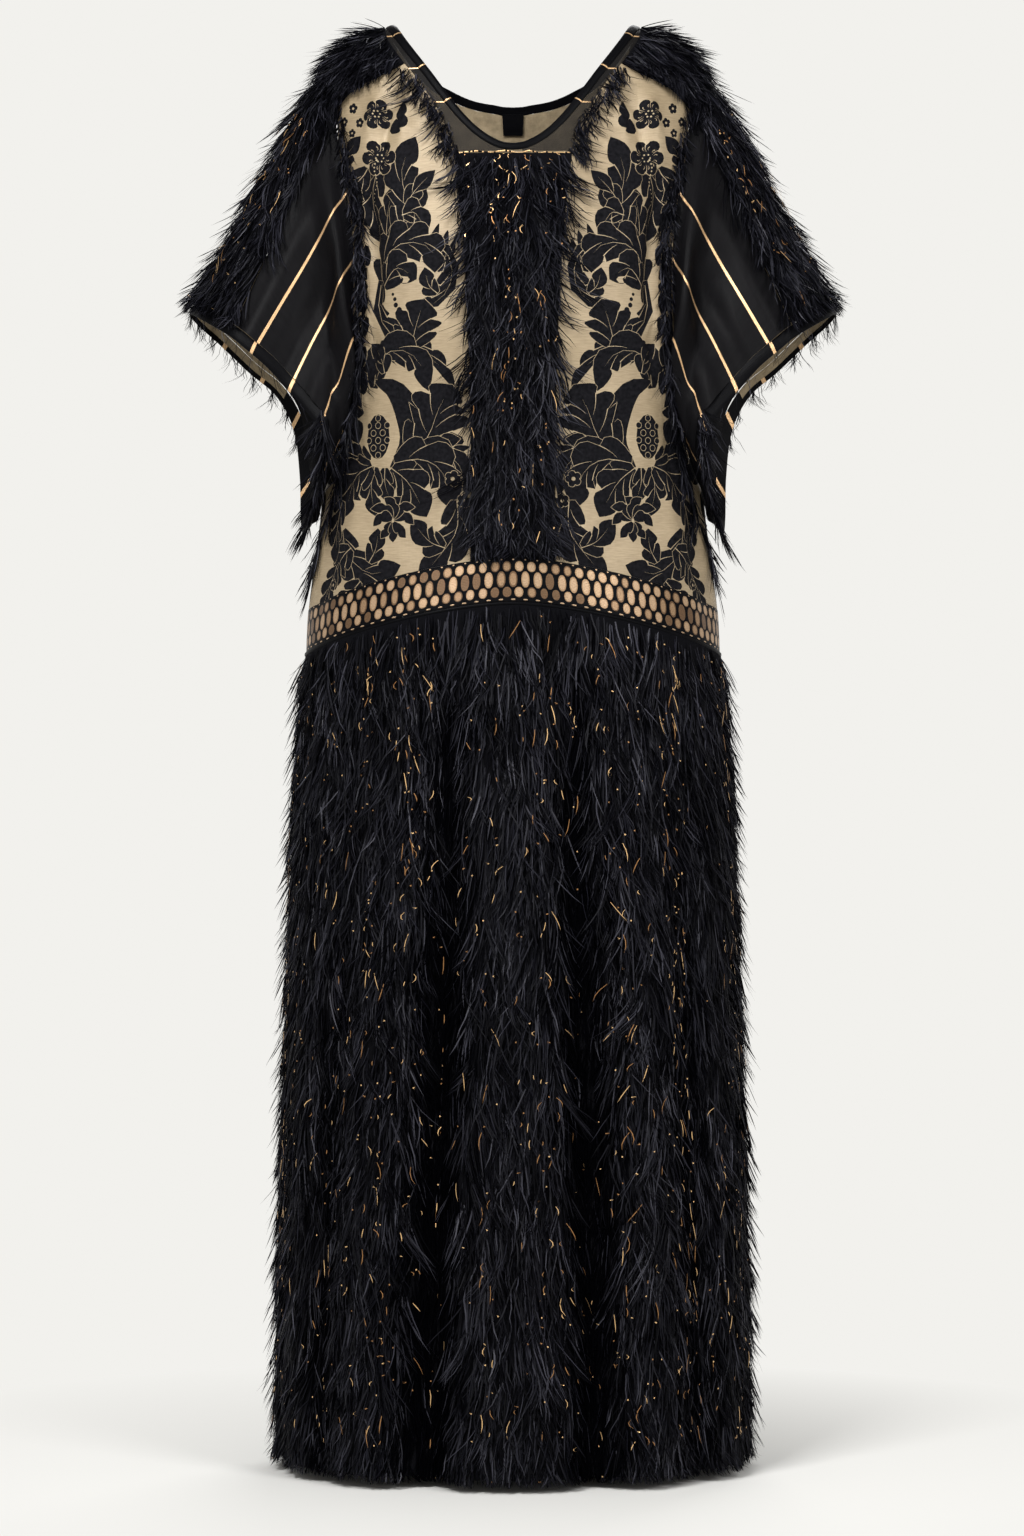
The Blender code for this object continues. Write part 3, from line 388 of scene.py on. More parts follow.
def armhole(row):
    """The spots on the body of rows of the sleeve."""
    row = np.asarray(row, float) % ROWS
    front = spline(ARM_FRONT, np.minimum(row, UNDERARM_ROW))
    back = spline(ARM_BACK, np.maximum(row - UNDERARM_ROW, 0))
    return np.where((row <= UNDERARM_ROW)[..., None], front, back)


def armhole_line(first, last):
    """Spots on the body along the armhole, two for each row, from one row of the sleeve to another."""
    return armhole(np.linspace(first, last, abs(last - first) * 2 + 1))


def sleeve_ends(row):
    """The sleeve's points at the armhole, just above the body's cloth, and at the hem."""
    cell = np.floor(row).astype(int)
    before, start, end, after = (HEM_POINTS[(cell + step) % ROWS] for step in (-1, 0, 1, 2))
    hem = hermite(start, end, (end - before) / 2, (after - start) / 2, (row - cell)[..., None])
    return body_on(1).out(armhole(row), ROOT_OUT), hem


def sleeve(row, along):
    """Points of the left sleeve, at a row of its table and a share of the way from armhole to hem."""
    row, along = np.broadcast_arrays(np.asarray(row, float), np.asarray(along, float))
    share = along[..., None]
    start, end = sleeve_ends(row)
    (start_low, end_low), (start_high, end_high) = sleeve_ends(row - 0.05), sleeve_ends(row + 0.05)
    across = (start_high - start_low) * (1 - share) + (end_high - end_low) * share
    out = np.zeros_like(along)
    for drape in DRAPES:
        away = (row - drape.row + ROWS / 2) % ROWS - ROWS / 2
        out += drape.out * bell(away, drape.row_spread) * bell(along - drape.along, drape.along_spread)
    out *= ramp(along, 0.0, ROOT_EASE)
    return start * (1 - share) + end * share + unit(np.cross(across, end - start)) * out[..., None]


def sleeve_share(row, width):
    """The share of the sleeve's length in a strip of this width at its hem."""
    row = np.asarray(row, float)
    edge = sleeve_ends(row + 0.05)[1] - sleeve_ends(row - 0.05)[1]
    start, end = sleeve_ends(row)
    return width / np.linalg.norm(np.cross(unit(edge), end - start), axis=-1)


# ---- Both surfaces --------------------------------------------------------------------------------


class Surface:
    """A surface as the wearer's left (side 1) or right (-1) has it."""

    def __init__(self, shape, steps, turn, side):
        self.shape, self.steps, self.side = shape, steps, side
        self.turn = turn * side

    def points(self, at):
        return self.shape(at[..., 0], at[..., 1]) * (self.side, 1, 1)

    def slopes(self, at):
        """How the points move for each unit of the first and of the second coordinate."""
        found = []
        for axis in (0, 1):
            low, high = at.copy(), at.copy()
            low[..., axis] -= self.steps[axis]
            high[..., axis] += self.steps[axis]
            if self.shape is body:
                low[..., 0], high[..., 0] = np.maximum(low[..., 0], -90.0), np.minimum(high[..., 0], 90.0)
            span = (high - low)[..., axis, None]
            found.append((self.points(high) - self.points(low)) / span)
        return found

    def normals(self, at):
        first, second = self.slopes(at)
        return unit(np.cross(first, second)) * self.turn

    def out(self, at, distance):
        """The points this far off the surface."""
        return self.points(at) + self.normals(at) * np.asarray(distance)[..., None]


def body_on(side):
    return Surface(body, (0.02, 0.0004), -1, side)


def sleeve_on(side):
    return Surface(sleeve, (0.02, 0.004), 1, side)


# ---- The bodice's flat cut: (distance round the body from the centre line, height) ----------------


class Flat:
    """Turns places on the flat cut of the bodice's front or back into spots, and back."""

    ANGLES = np.linspace(0, 90, 91)
    LEVELS = np.linspace(-0.66, 0.02, 35)

    def __init__(self, front):
        self.front = front
        angle, z = np.meshgrid(self.ANGLES, self.LEVELS)
        points = body(angle, over_at(angle, z, front))
        steps = np.linalg.norm(np.diff(points, axis=1), axis=2)
        self.arcs = np.concatenate([np.zeros((len(self.LEVELS), 1)), np.cumsum(steps, axis=1)], axis=1)

    def arcs_at(self, z):
        """The distances round the body to each of ANGLES, at each height."""
        level = (np.clip(z, self.LEVELS[0], self.LEVELS[-1]) - self.LEVELS[0]) / np.diff(self.LEVELS)[0]
        cell = np.minimum(level.astype(int), len(self.LEVELS) - 2)
        share = (level - cell)[:, None]
        return self.arcs[cell] * (1 - share) + self.arcs[cell + 1] * share

    def places(self, at):
        """The places of spots."""
        z = body(at[:, 0], at[:, 1])[:, 2]
        arcs = self.arcs_at(z)
        angle = abs(at[:, 0])
        cell = np.minimum(angle.astype(int), len(self.ANGLES) - 2)
        each = np.arange(len(at))
        way = arcs[each, cell] + (angle - cell) * (arcs[each, cell + 1] - arcs[each, cell])
        return np.stack([np.sign(at[:, 0]) * way, z], -1)

    def spots(self, places):
        arcs = self.arcs_at(places[:, 1])
        way = abs(places[:, 0])
        cell = np.clip((arcs <= way[:, None]).sum(1) - 1, 0, len(self.ANGLES) - 2)
        each = np.arange(len(places))
        low, high = arcs[each, cell], arcs[each, cell + 1]
        angle = np.minimum(cell + (way - low) / np.maximum(high - low, 1e-9), 90.0)
        angle = np.sign(places[:, 0]) * angle
        return spots(angle, over_at(angle, places[:, 1], self.front))

    def drawn(self, millimetres):
        """Places from a drawing's (distance from the centre line as seen from the front, drop), in mm."""
        drawn = np.asarray(millimetres, float) * (MM, -MM)
        return self.places(np.array([spot_at(self.front, min(x, 0.205), z) for x, z in drawn]))


FRONT_CUT, BACK_CUT = Flat(True), Flat(False)


# ---- Materials ------------------------------------------------------------------------------------


class Finish:
    """A Principled material under construction, with short ways to add nodes."""

    def __init__(self, name, colour, roughness, metallic=0.0, sheen=0.0, specular=0.5, alpha=1.0):
        self.made = bpy.data.materials.new(name)
        self.made.use_nodes = True
        self.nodes, self.links = self.made.node_tree.nodes, self.made.node_tree.links
        self.shader = self.nodes["Principled BSDF"]
        values = {
            "Base Color": (*colour, 1),
            "Roughness": roughness,
            "Metallic": metallic,
            "Sheen Weight": sheen,
            "Specular IOR Level": specular,
            "Alpha": alpha,
        }
        for socket, value in values.items():
            self.shader.inputs[socket].default_value = value
        if sheen:
            self.shader.inputs["Sheen Roughness"].default_value = 0.4
            self.shader.inputs["Sheen Tint"].default_value = (*(min(1, 1.6 * c + 0.05) for c in colour), 1)

    def node(self, kind, inputs=(), **settings):
        made = self.nodes.new(kind)
        for name, value in settings.items():
            setattr(made, name, value)
        for name, value in dict(inputs).items():
            if isinstance(value, bpy.types.NodeSocket):
                self.links.new(value, made.inputs[name])
            else:
                made.inputs[name].default_value = value
        return made

    def coordinates(self, scale):
        """The cloth's own coordinates in metres, times scale."""
        source = self.node("ShaderNodeTexCoord").outputs["UV"]
        return self.node("ShaderNodeMapping", {"Vector": source, "Scale": scale}).outputs["Vector"]

    def noise(self, vector, detail=2.0, roughness=0.5):
        inputs = {"Vector": vector, "Scale": 1.0, "Detail": detail, "Roughness": roughness}
        return self.node("ShaderNodeTexNoise", inputs).outputs["Fac"]

    def mixed(self, share, low, high):
        """A colour between two, by a share from 0.3 to 0.7, where noise mostly lies."""
        made = self.node("ShaderNodeValToRGB", {"Fac": share})
        made.color_ramp.elements[0].position, made.color_ramp.elements[1].position = 0.3, 0.7
        made.color_ramp.elements[0].color, made.color_ramp.elements[1].color = (*low, 1), (*high, 1)
        return made.outputs["Color"]

    def colour(self, socket):
        self.links.new(socket, self.shader.inputs["Base Color"])

    def bump(self, height, distance):
        made = self.node("ShaderNodeBump", {"Height": height, "Distance": distance, "Strength": 1.0})
        self.links.new(made.outputs["Normal"], self.shader.inputs["Normal"])

    def weave(self, pitch, depth, both=True):
        """The bump of threads that cross, at this pitch."""
        along = self.coordinates((1, 1, 1))
        waves = [
            self.node(
                "ShaderNodeTexWave",
                {"Vector": along, "Scale": 1 / pitch / 6.28, "Distortion": 0.6, "Detail": 1.0},
                bands_direction=direction,
            ).outputs["Fac"]
            for direction in ("XY" if both else "Y")
        ]
        height = waves[0]
        if both:
            height = self.node("ShaderNodeMath", {0: waves[0], 1: waves[1]}, operation="MULTIPLY").outputs[0]
        self.bump(height, depth)


def damask_ground():
    finish = Finish("damask_ground", (0.30, 0.23, 0.14), 0.45, 0.15, sheen=0.12, specular=0.4)
    slub = finish.noise(finish.coordinates((90, 900, 1)), 3.0)
    cloud = finish.noise(finish.coordinates((28, 28, 1)), 3.0)
    both = finish.node("ShaderNodeMath", {0: slub, 1: cloud}, operation="ADD").outputs[0]
    half = finish.node("ShaderNodeMath", {0: both, 1: 0.5}, operation="MULTIPLY").outputs[0]
    finish.colour(finish.mixed(half, (0.210, 0.157, 0.092), (0.35, 0.273, 0.172)))
    finish.weave(0.0007, 0.00012)
    return finish.made


def damask_figure():
    finish = Finish("damask_figure", (0.004, 0.004, 0.005), 0.70, specular=0.04)
    cloud = finish.noise(finish.coordinates((260, 260, 1)), 3.0)
    finish.colour(finish.mixed(cloud, (0.0022, 0.0022, 0.0030), (0.0085, 0.0082, 0.0100)))
    finish.weave(0.0006, 0.00010)
    return finish.made


def damask_wrong_side():
    """The loose weft on the inside: tan, mottled in lighter and darker clouds."""
    finish = Finish("damask_wrong_side", (0.27, 0.21, 0.13), 0.8, specular=0.2)
    cloud = finish.noise(finish.coordinates((70, 70, 1)), 6.0, 0.65)
    finish.colour(finish.mixed(cloud, (0.17, 0.13, 0.08), (0.34, 0.27, 0.17)))
    finish.weave(0.0008, 0.00015)
    return finish.made


def satin(name, colour):
    finish = Finish(name, colour, 0.42, specular=0.045)
    cloud = finish.noise(finish.coordinates((40, 700, 1)), 2.0)
    finish.colour(finish.mixed(cloud, tuple(c * 0.75 for c in colour), tuple(c * 1.3 for c in colour)))
    finish.weave(0.0006, 0.00006, both=False)
    return finish.made


def metal_thread(name, colour, roughness, pitch=0.0008):
    finish = Finish(name, colour, roughness, 0.55)
    cloud = finish.noise(finish.coordinates((900, 900, 1)), 2.0)
    low = tuple(c * 0.72 for c in colour)
    high = tuple(min(1, c * 1.25) for c in colour)
    finish.colour(finish.mixed(cloud, low, high))
    finish.weave(pitch, 0.00010, both=False)
    return finish.made


def backing():
    finish = Finish("pile_backing", (0.0025, 0.0025, 0.0035), 0.9, specular=0.05)
    finish.bump(finish.noise(finish.coordinates((700, 700, 1)), 3.0), 0.0006)
    return finish.made


ORGANZA_CLEAR = 0.60


def organza():
    """Sheer enough for the inside of the back to show through."""
    finish = Finish("organza", (0.008, 0.007, 0.0065), 0.6, specular=0.15, alpha=ORGANZA_CLEAR)
    finish.weave(0.0009, 0.00006)
    return finish.made


GOLD = (0.78, 0.50, 0.24)
# The pile's shades, copies of one near-black: partly the yarn's own uneven tone, partly painted highlight on
# lit strands and painted shade in the gaps between locks. How much they shine, and how many strands have
# each. The first is a painted shade, for strands in the skirt's folds.
Strand = namedtuple("Strand", "colour specular share")
STRANDS = (
    Strand((0.0010, 0.0010, 0.0015), 0.00, 0.00),
    Strand((0.0016, 0.0016, 0.0024), 0.03, 0.38),
    Strand((0.0038, 0.0038, 0.0060), 0.07, 0.32),
    Strand((0.0100, 0.0100, 0.0150), 0.12, 0.21),
    Strand((0.0250, 0.0250, 0.0345), 0.20, 0.09),
)
MATERIALS = {
    "ground": damask_ground(),
    "figure": damask_figure(),
    "wrong": damask_wrong_side(),
    "satin": satin("black_satin", (0.0036, 0.0034, 0.0040)),
    "trim": satin("black_trim", (0.0016, 0.0016, 0.0022)),
    "pinstripe": metal_thread("gold_pinstripe", (0.58, 0.37, 0.19), 0.38),
    "gold": Finish("gold_thread", GOLD, 0.30, 0.85).made,
    "gold_dim": Finish("gold_thread_dim", (0.34, 0.17, 0.065), 0.35, 0.75).made,
    # The ovals' gold in a lit, a mid and a shaded copy: painted sheen and painted shade.
    "oval_gold_lit": metal_thread("oval_gold_lit", (0.37, 0.248, 0.150), 0.42),
    "oval_mid": metal_thread("oval_mid", (0.265, 0.165, 0.090), 0.42),
    "oval_gold_shaded": metal_thread("oval_gold_shaded", (0.115, 0.063, 0.030), 0.42),
    "backing": backing(),
    "organza": organza(),
}
for number, strand in enumerate(STRANDS):
    finish = Finish(f"strand_{number}", strand.colour, 0.50, specular=strand.specular)
    MATERIALS[f"strand_{number}"] = finish.made
STRAND_SLOTS = [f"strand_{number}" for number in range(len(STRANDS))]


# ---- Making pieces --------------------------------------------------------------------------------


def piece(name, points, corners, starts, slots, slot_numbers, nodes=(), uv=None):
    """A piece that rides on the body. corners lists the faces' points one after another, and starts is where
    each face begins there. slots are names in MATERIALS, and slot_numbers each face's."""
    mesh = bpy.data.meshes.new(name)
    mesh.vertices.add(len(points))
    mesh.vertices.foreach_set("co", np.ascontiguousarray(points, np.float32).ravel())
    mesh.loops.add(len(corners))
    mesh.loops.foreach_set("vertex_index", np.ascontiguousarray(corners, np.int32))
    mesh.polygons.add(len(starts))
    mesh.polygons.foreach_set("loop_start", np.ascontiguousarray(starts, np.int32))
    for name_of_slot in slots:
        mesh.materials.append(MATERIALS[name_of_slot])
    mesh.polygons.foreach_set("material_index", np.ascontiguousarray(slot_numbers, np.int32))
    if uv is not None:
        layer = mesh.uv_layers.new(name="Weave")
        layer.data.foreach_set("uv", np.ascontiguousarray(uv[corners], np.float32).ravel())
    mesh.update(calc_edges=True)
    mesh.shade_smooth()
    made = bpy.data.objects.new(name, mesh)
    bpy.context.scene.collection.objects.link(made)
    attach(made, "root")
    if nodes:
        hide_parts(*nodes)
    return made


def within(ring, places):
    """Which places lie inside a closed ring, which may cross itself."""
    x, y = places.T
    start, end = ring[:, None], np.roll(ring, -1, axis=0)[:, None]
    rise = end[..., 1] - start[..., 1]
    crossing = (start[..., 1] > y) != (end[..., 1] > y)
    along = (y - start[..., 1]) / np.where(rise == 0, 1, rise)
    left = x < start[..., 0] + along * (end[..., 0] - start[..., 0])
    return (np.sign(rise) * (crossing & left)).sum(0) != 0


def grid_inside(ring, known, spacing):
    """A staggered grid of places inside a ring that keeps off the known places."""
    (x0, y0), (x1, y1) = ring.min(0), ring.max(0)
    rows = np.arange(y0, y1, spacing * 0.87)
    places = [
        (x + spacing / 2 * (i % 2), y) for i, y in enumerate(rows) for x in np.arange(x0, x1, spacing)
    ]
    places = np.array(places)
    places = places[within(ring, places)]
    tree = KDTree(len(known))
    for i, place in enumerate(known):
        tree.insert((*place, 0), i)
    tree.balance()
    return np.array([p for p in places if tree.find((*p, 0))[2] > spacing * 0.45])


def drawn(outline, figures, spacing):
    """A flat cut as (places, triangles, each triangle's number): outline is its ring, and figures are (ring,
    number of its slot), the later ones on top."""
    rings = [outline] + [ring for ring, _ in figures]
    known = np.concatenate(rings)
    extra = grid_inside(outline, known, spacing)
    places = np.concatenate([known, extra]) if len(extra) else known
    ends = np.cumsum([len(ring) for ring in rings])
    faces_in = [list(range(end - len(ring), end)) for ring, end in zip(rings, ends)]
    found = delaunay_2d_cdt([Vector(p) for p in places], [], faces_in, 0, 1e-6, False)
    places = np.array([tuple(p) for p in found[0]])
    triangles = np.array([face for face in found[2] if len(face) == 3])
    middles = places[triangles].mean(1)
    kept = within(outline, middles)
    triangles, middles = triangles[kept], middles[kept]
    numbers = np.zeros(len(triangles), int)
    for ring, number in figures:
        near = ((middles > ring.min(0)) & (middles < ring.max(0))).all(1).nonzero()[0]
        hit = near[within(ring, middles[near])]
        numbers[hit] = number
    used, triangles = np.unique(triangles, return_inverse=True)
    return places[used], triangles.reshape(-1, 3), numbers


def both_halves(places, triangles, numbers):
    """A drawn half cut and its mirror image, joined where it meets the centre line."""
    centre = abs(places[:, 0]) < 1e-6
    moved = np.where(centre, np.arange(len(places)), len(places) - 1 + np.cumsum(~centre))
    return (
        np.concatenate([places, places[~centre] * (-1, 1)]),
        np.concatenate([triangles, moved[triangles]]),
        np.concatenate([numbers, numbers]),
    )


def woven(name, lift, pattern, low, high, slots, nodes, inside=None, height=None):
    """A cloth panel with its pattern woven in, as a thin closed shell.

    lift turns places on the flat cut into points and normals, and pattern is what drawn gives. slots are
    the materials, first the ground's, and inside is a function of places that gives the inner side's
    numbers. height, a function of places too, is how far creases move the cloth."""
    places, triangles, numbers = pattern
    triangles = triangles.copy()
    points, normals = lift(places)
    if height is not None:
        points = points + normals * height(places)[:, None]
    a, b, c = points[triangles].transpose(1, 0, 2)
    facing = (np.cross(b - a, c - a) * normals[triangles[:, 0]]).sum(1)
    triangles[facing < 0] = triangles[facing < 0][:, ::-1]
    area = np.linalg.norm(np.cross(b - a, c - a), axis=1).sum() / 2
    count = len(points)
    edges = np.concatenate([triangles[:, [0, 1]], triangles[:, [1, 2]], triangles[:, [2, 0]]])
    keys = np.sort(edges, axis=1)
    _, first, uses = np.unique(keys, axis=0, return_index=True, return_counts=True)
    rim = edges[first[uses == 1]]
    rims = np.stack([rim[:, 1], rim[:, 0], rim[:, 0] + count, rim[:, 1] + count], 1)
    corners = np.concatenate([triangles.ravel(), (triangles[:, ::-1] + count).ravel(), rims.ravel()])
    starts = np.concatenate(
        [np.arange(2 * len(triangles)) * 3, 6 * len(triangles) + np.arange(len(rims)) * 4]
    )
    back = inside(places[triangles].mean(1)) if inside is not None else numbers
    numbers = np.concatenate([numbers, back, np.zeros(len(rims), int)])
    both = np.concatenate([points + normals * high, points + normals * low])
    uv = np.concatenate([places, places])
    made = piece(name, both, corners, starts, slots, numbers, nodes, uv)
    made.data.set_sharp_from_angle(angle=math.radians(50))
    return made, area, smallest_rectangle(places)


def smallest_rectangle(places):
    """The width and length of the smallest rectangle that holds places."""
    found = []
    for turn in np.radians(np.arange(0, 90, 5)):
        turned = places @ np.array([[math.cos(turn), -math.sin(turn)], [math.sin(turn), math.cos(turn)]])
        found.append(turned.max(0) - turned.min(0))
    return min(found, key=lambda size: size[0] * size[1])


def cut(made, area, size, rests_on, held="hung"):
    """Takes a cloth piece's flat cut within a rectangle of this size, and the pieces that it rests on, but
    declares nothing. area, how large the cut is, is not used.
    """
    width, length = size
    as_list(rests_on)


def grid_faces(rows, columns, closed=False):
    """The quads of a grid of points, row by row. A closed grid joins its last column to its first."""
    i, k = np.meshgrid(np.arange(rows - 1), np.arange(columns - (0 if closed else 1)), indexing="ij")
    i, k = i.ravel(), k.ravel()
    after = (k + 1) % columns
    near, far = i * columns, (i + 1) * columns
    return np.stack([near + k, near + after, far + after, far + k], 1)


def shell(name, surface, grid, low, high, slots, nodes=(), closed=False, numbers=None):
    """A closed wall over a grid of spots [lines, columns, 2]. low and high are heights or arrays of them, and
    numbers is the slot of each face, of the outer side or of the outer and the inner."""
    lines, columns = grid.shape[:2]
    points, normals = surface.points(grid), surface.normals(grid)
    low, high = (np.broadcast_to(x, (lines, columns))[..., None] for x in (low, high))
    outer, inner = points + normals * high, points + normals * low
    count = lines * columns
    faces = grid_faces(lines, columns, closed)
    test = outer.reshape(-1, 3)[faces]
    square = np.cross(test[:, 1] - test[:, 0], test[:, 2] - test[:, 0])
    if (square * normals.reshape(-1, 3)[faces[:, 0]]).sum() < 0:
        faces = faces[:, ::-1]
    edges = np.concatenate([faces[:, [i, (i + 1) % 4]] for i in range(4)])
    _, first, uses = np.unique(np.sort(edges, axis=1), axis=0, return_index=True, return_counts=True)
    rim = edges[first[uses == 1]]
    rims = np.stack([rim[:, 1], rim[:, 0], rim[:, 0] + count, rim[:, 1] + count], 1)
    corners = np.concatenate([faces, faces[:, ::-1] + count, rims]).ravel()
    total = 2 * len(faces) + len(rims)
    both = np.concatenate([outer.reshape(-1, 3), inner.reshape(-1, 3)])
    steps = np.linalg.norm(np.diff(points, axis=1), axis=2).mean(0)
    falls = np.linalg.norm(np.diff(points, axis=0), axis=2).mean(1)
    across = np.concatenate([[0], np.cumsum(steps)])
    down = np.concatenate([[0], np.cumsum(falls)])
    flat = np.stack(np.meshgrid(across, down), -1).reshape(-1, 2)
    face_slots = np.zeros(total, int)
    if numbers is not None:
        face_slots[: 2 * len(faces)] = np.resize(numbers, 2 * len(faces))
    uv = np.concatenate([flat, flat])
    made = piece(name, both, corners, np.arange(total) * 4, slots, face_slots, nodes, uv)
    made.data.set_sharp_from_angle(angle=math.radians(50))
    a, b, c, d = points.reshape(-1, 3)[faces].transpose(1, 0, 2)
    halves = np.cross(b - a, c - a), np.cross(c - a, d - a)
    area = sum(np.linalg.norm(half, axis=1).sum() for half in halves) / 2
    return made, area, (across[-1], down[-1])


# ---- Strands --------------------------------------------------------------------------------------

STRAND_POINTS = 5


def ribbons(name, paths, across, widths, slots, numbers):
    """Strands as flat ribbons that end in a point. paths and across are [strands, points, 3], and widths
    [strands, points]. numbers is each strand's slot."""
    strands, points = paths.shape[:2]
    half = across * widths[..., None] / 2
    pairs = np.stack([paths - half, paths + half], 2)[:, :-1].reshape(strands, -1, 3)
    vertices = np.concatenate([pairs, paths[:, -1:]], 1)
    each = vertices.shape[1]
    quads = [(2 * i, 2 * i + 1, 2 * i + 3, 2 * i + 2) for i in range(points - 2)]
    corners = np.array([n for quad in quads for n in quad] + [each - 3, each - 2, each - 1])
    starts = np.arange(points - 1) * 4
    offsets = np.arange(strands)[:, None]
    all_corners = (corners + offsets * each).ravel()
    all_starts = (starts + offsets * len(corners)).ravel()
    face_slots = np.repeat(numbers, points - 1)
    return piece(name, vertices.reshape(-1, 3), all_corners, all_starts, slots, face_slots)


def scattered(surface, grid, count, random):
    """Spots at random over a grid of them, evenly by area, with their points and normals, and the area."""
    points, normals = surface.points(grid), surface.normals(grid)
    a, b, c = points[:-1, :-1], points[1:, :-1], points[:-1, 1:]
    areas = np.linalg.norm(np.cross(b - a, c - a), axis=2)
    cells = random.choice(areas.size, count, p=areas.ravel() / areas.sum())
    i, k = np.unravel_index(cells, areas.shape)
    u, v = random.random((2, count, 1))

    def at(values):
        near = values[i, k] * (1 - v) + values[i, k + 1] * v
        far = values[i + 1, k] * (1 - v) + values[i + 1, k + 1] * v
        return near * (1 - u) + far * u

    return at(grid), at(points), unit(at(normals)), areas.sum()


# A coat's strands: their length, how far they stand out, their width, how many gather in a lock, how unevenly
# they lean, curl and wave, and the share of strays
Coat = namedtuple("Coat", "length reach width clump lean curl wave stray")
SKIRT_COAT = Coat(0.050, PILE * 1.05, 1.30 * MM, 15, 0.17, 0.22, 1.6 * MM, 0.10)
PLACKET_COAT = Coat(0.036, PLACKET_PILE * 1.1, 1.10 * MM, 9, 0.26, 0.36, 2.0 * MM, 0.12)
SLEEVE_COAT = Coat(0.040, SHOULDER_PILE * 1.2, 1.10 * MM, 12, 0.18, 0.24, 1.6 * MM, 0.12)
TRIM_COAT = Coat(0.023, 0.0075, 1.20 * MM, 5, 0.42, 0.60, 2.2 * MM, 0.16)
SIDE_COAT = Coat(0.034, 0.0090, 1.15 * MM, 8, 0.26, 0.36, 1.9 * MM, 0.14)
THREAD_COAT = Coat(0.016, 0.003, 0.55 * MM, 2, 0.24, 0.50, 2.2 * MM, 0.12)


def grown(roots, normals, coat, random, comb=None, room=None, base=2.0 * MM, pressed=0.0):
    """Paths of strands [strands, points, 3] that lie down the cloth in locks, the directions across them,
    their widths and each one's lock.

    comb is a pull beside gravity, room the most that each strand may fall, base how far off the cloth it
    starts, and pressed how flat it lies, from 0 to 1."""
    count = len(roots)
    pull = np.zeros((count, 3)) + (0, 0, -1)
    if comb is not None:
        pull = pull + comb
    down = unit(pull - normals * (pull * normals).sum(1, keepdims=True))
    side = np.cross(normals, down)
    locks = max(1, count // coat.clump)
    tree = KDTree(locks)
    leaders = random.choice(count, locks, replace=False)
    for number, leader in enumerate(leaders):
        tree.insert(roots[leader], number)
    tree.balance()
    lock = np.array([tree.find(root)[1] for root in roots])
    lock_values = random.normal(size=(locks, 4))
    own_values = random.normal(size=(count, 4))
    stray = random.random(count) < coat.stray
    length = coat.length * np.clip(1 + 0.20 * lock_values[lock, 0] + 0.14 * own_values[:, 0], 0.45, 1.6)
    if room is not None:
        length = np.minimum(length, np.maximum(room + 0.003 * own_values[:, 3], 0.005))
    lean = coat.lean * (0.85 * lock_values[lock, 1] + 0.35 * own_values[:, 1])
    lean = lean + stray * 0.20 * own_values[:, 3]
    length = np.where(stray, 0.72 * length, length)
    share_of_reach = random.random(count) ** 0.7 * (0.8 + 0.16 * lock_values[lock, 2])
    reach = coat.reach * np.clip(share_of_reach, 0.12, 0.95)
    reach = np.where(stray, coat.reach * (1.0 + 0.40 * random.random(count)), reach) * (1 - 0.72 * pressed)
    turns = random.random((count, 2))
    share = np.linspace(0, 1, STRAND_POINTS)
    lift = base + reach[:, None] * (0.72 * (1 - (1 - share) ** 2) + 0.34 * share**3)
    wave = np.sin(2 * np.pi * (turns[:, :1] + share * (0.6 + 0.9 * turns[:, 1:]))) * share
    curl = coat.curl * (0.8 * lock_values[lock, 3] + 0.5 * own_values[:, 3])
    sway = length[:, None] * (lean[:, None] * share + curl[:, None] * share**2) + coat.wave * wave
    paths = (
        roots[:, None]
        + down[:, None] * (length[:, None] * share)[..., None]
        + normals[:, None] * lift[..., None]
        + side[:, None] * sway[..., None]
    )
    gather = 0.36 * (share**1.2)[None, :, None] * (~stray)[:, None, None]
    tips = paths[leaders][lock]
    shorten = np.clip(length / length[leaders][lock], 0.3, 1.0)[:, None, None]
    meet = tips[:, :1] + (tips - tips[:, :1]) * shorten
    paths = paths * (1 - gather) + meet * gather
    twist = np.radians(50) * random.normal(size=(count, 1, 1)) * 0.7
    across = unit(side[:, None] * np.cos(twist) + normals[:, None] * np.sin(twist))
    across = np.broadcast_to(across, paths.shape)
    thin = 1 - 0.45 * share**3
    widths = coat.width * np.clip(1 + 0.18 * own_values[:, 2:3], 0.6, 1.5) * thin
    return paths, across, widths, lock


def shades(lock, random, deep=0.0):
    """Each strand's shade, partly the yarn's tone and partly painted light: mostly its lock's, so whole locks
    look lit or shaded, and the darkest, a painted shade, where deep, from 0 to 1, is high.
    """
    shares = [strand.share for strand in STRANDS]
    own = random.choice(len(STRANDS), len(lock), p=shares)
    of_locks = random.choice(len(STRANDS), lock.max() + 1, p=shares)
    found = np.where(random.random(len(lock)) < 0.45, of_locks[lock], own)
    return np.where(random.random(len(lock)) < deep, 0, found)


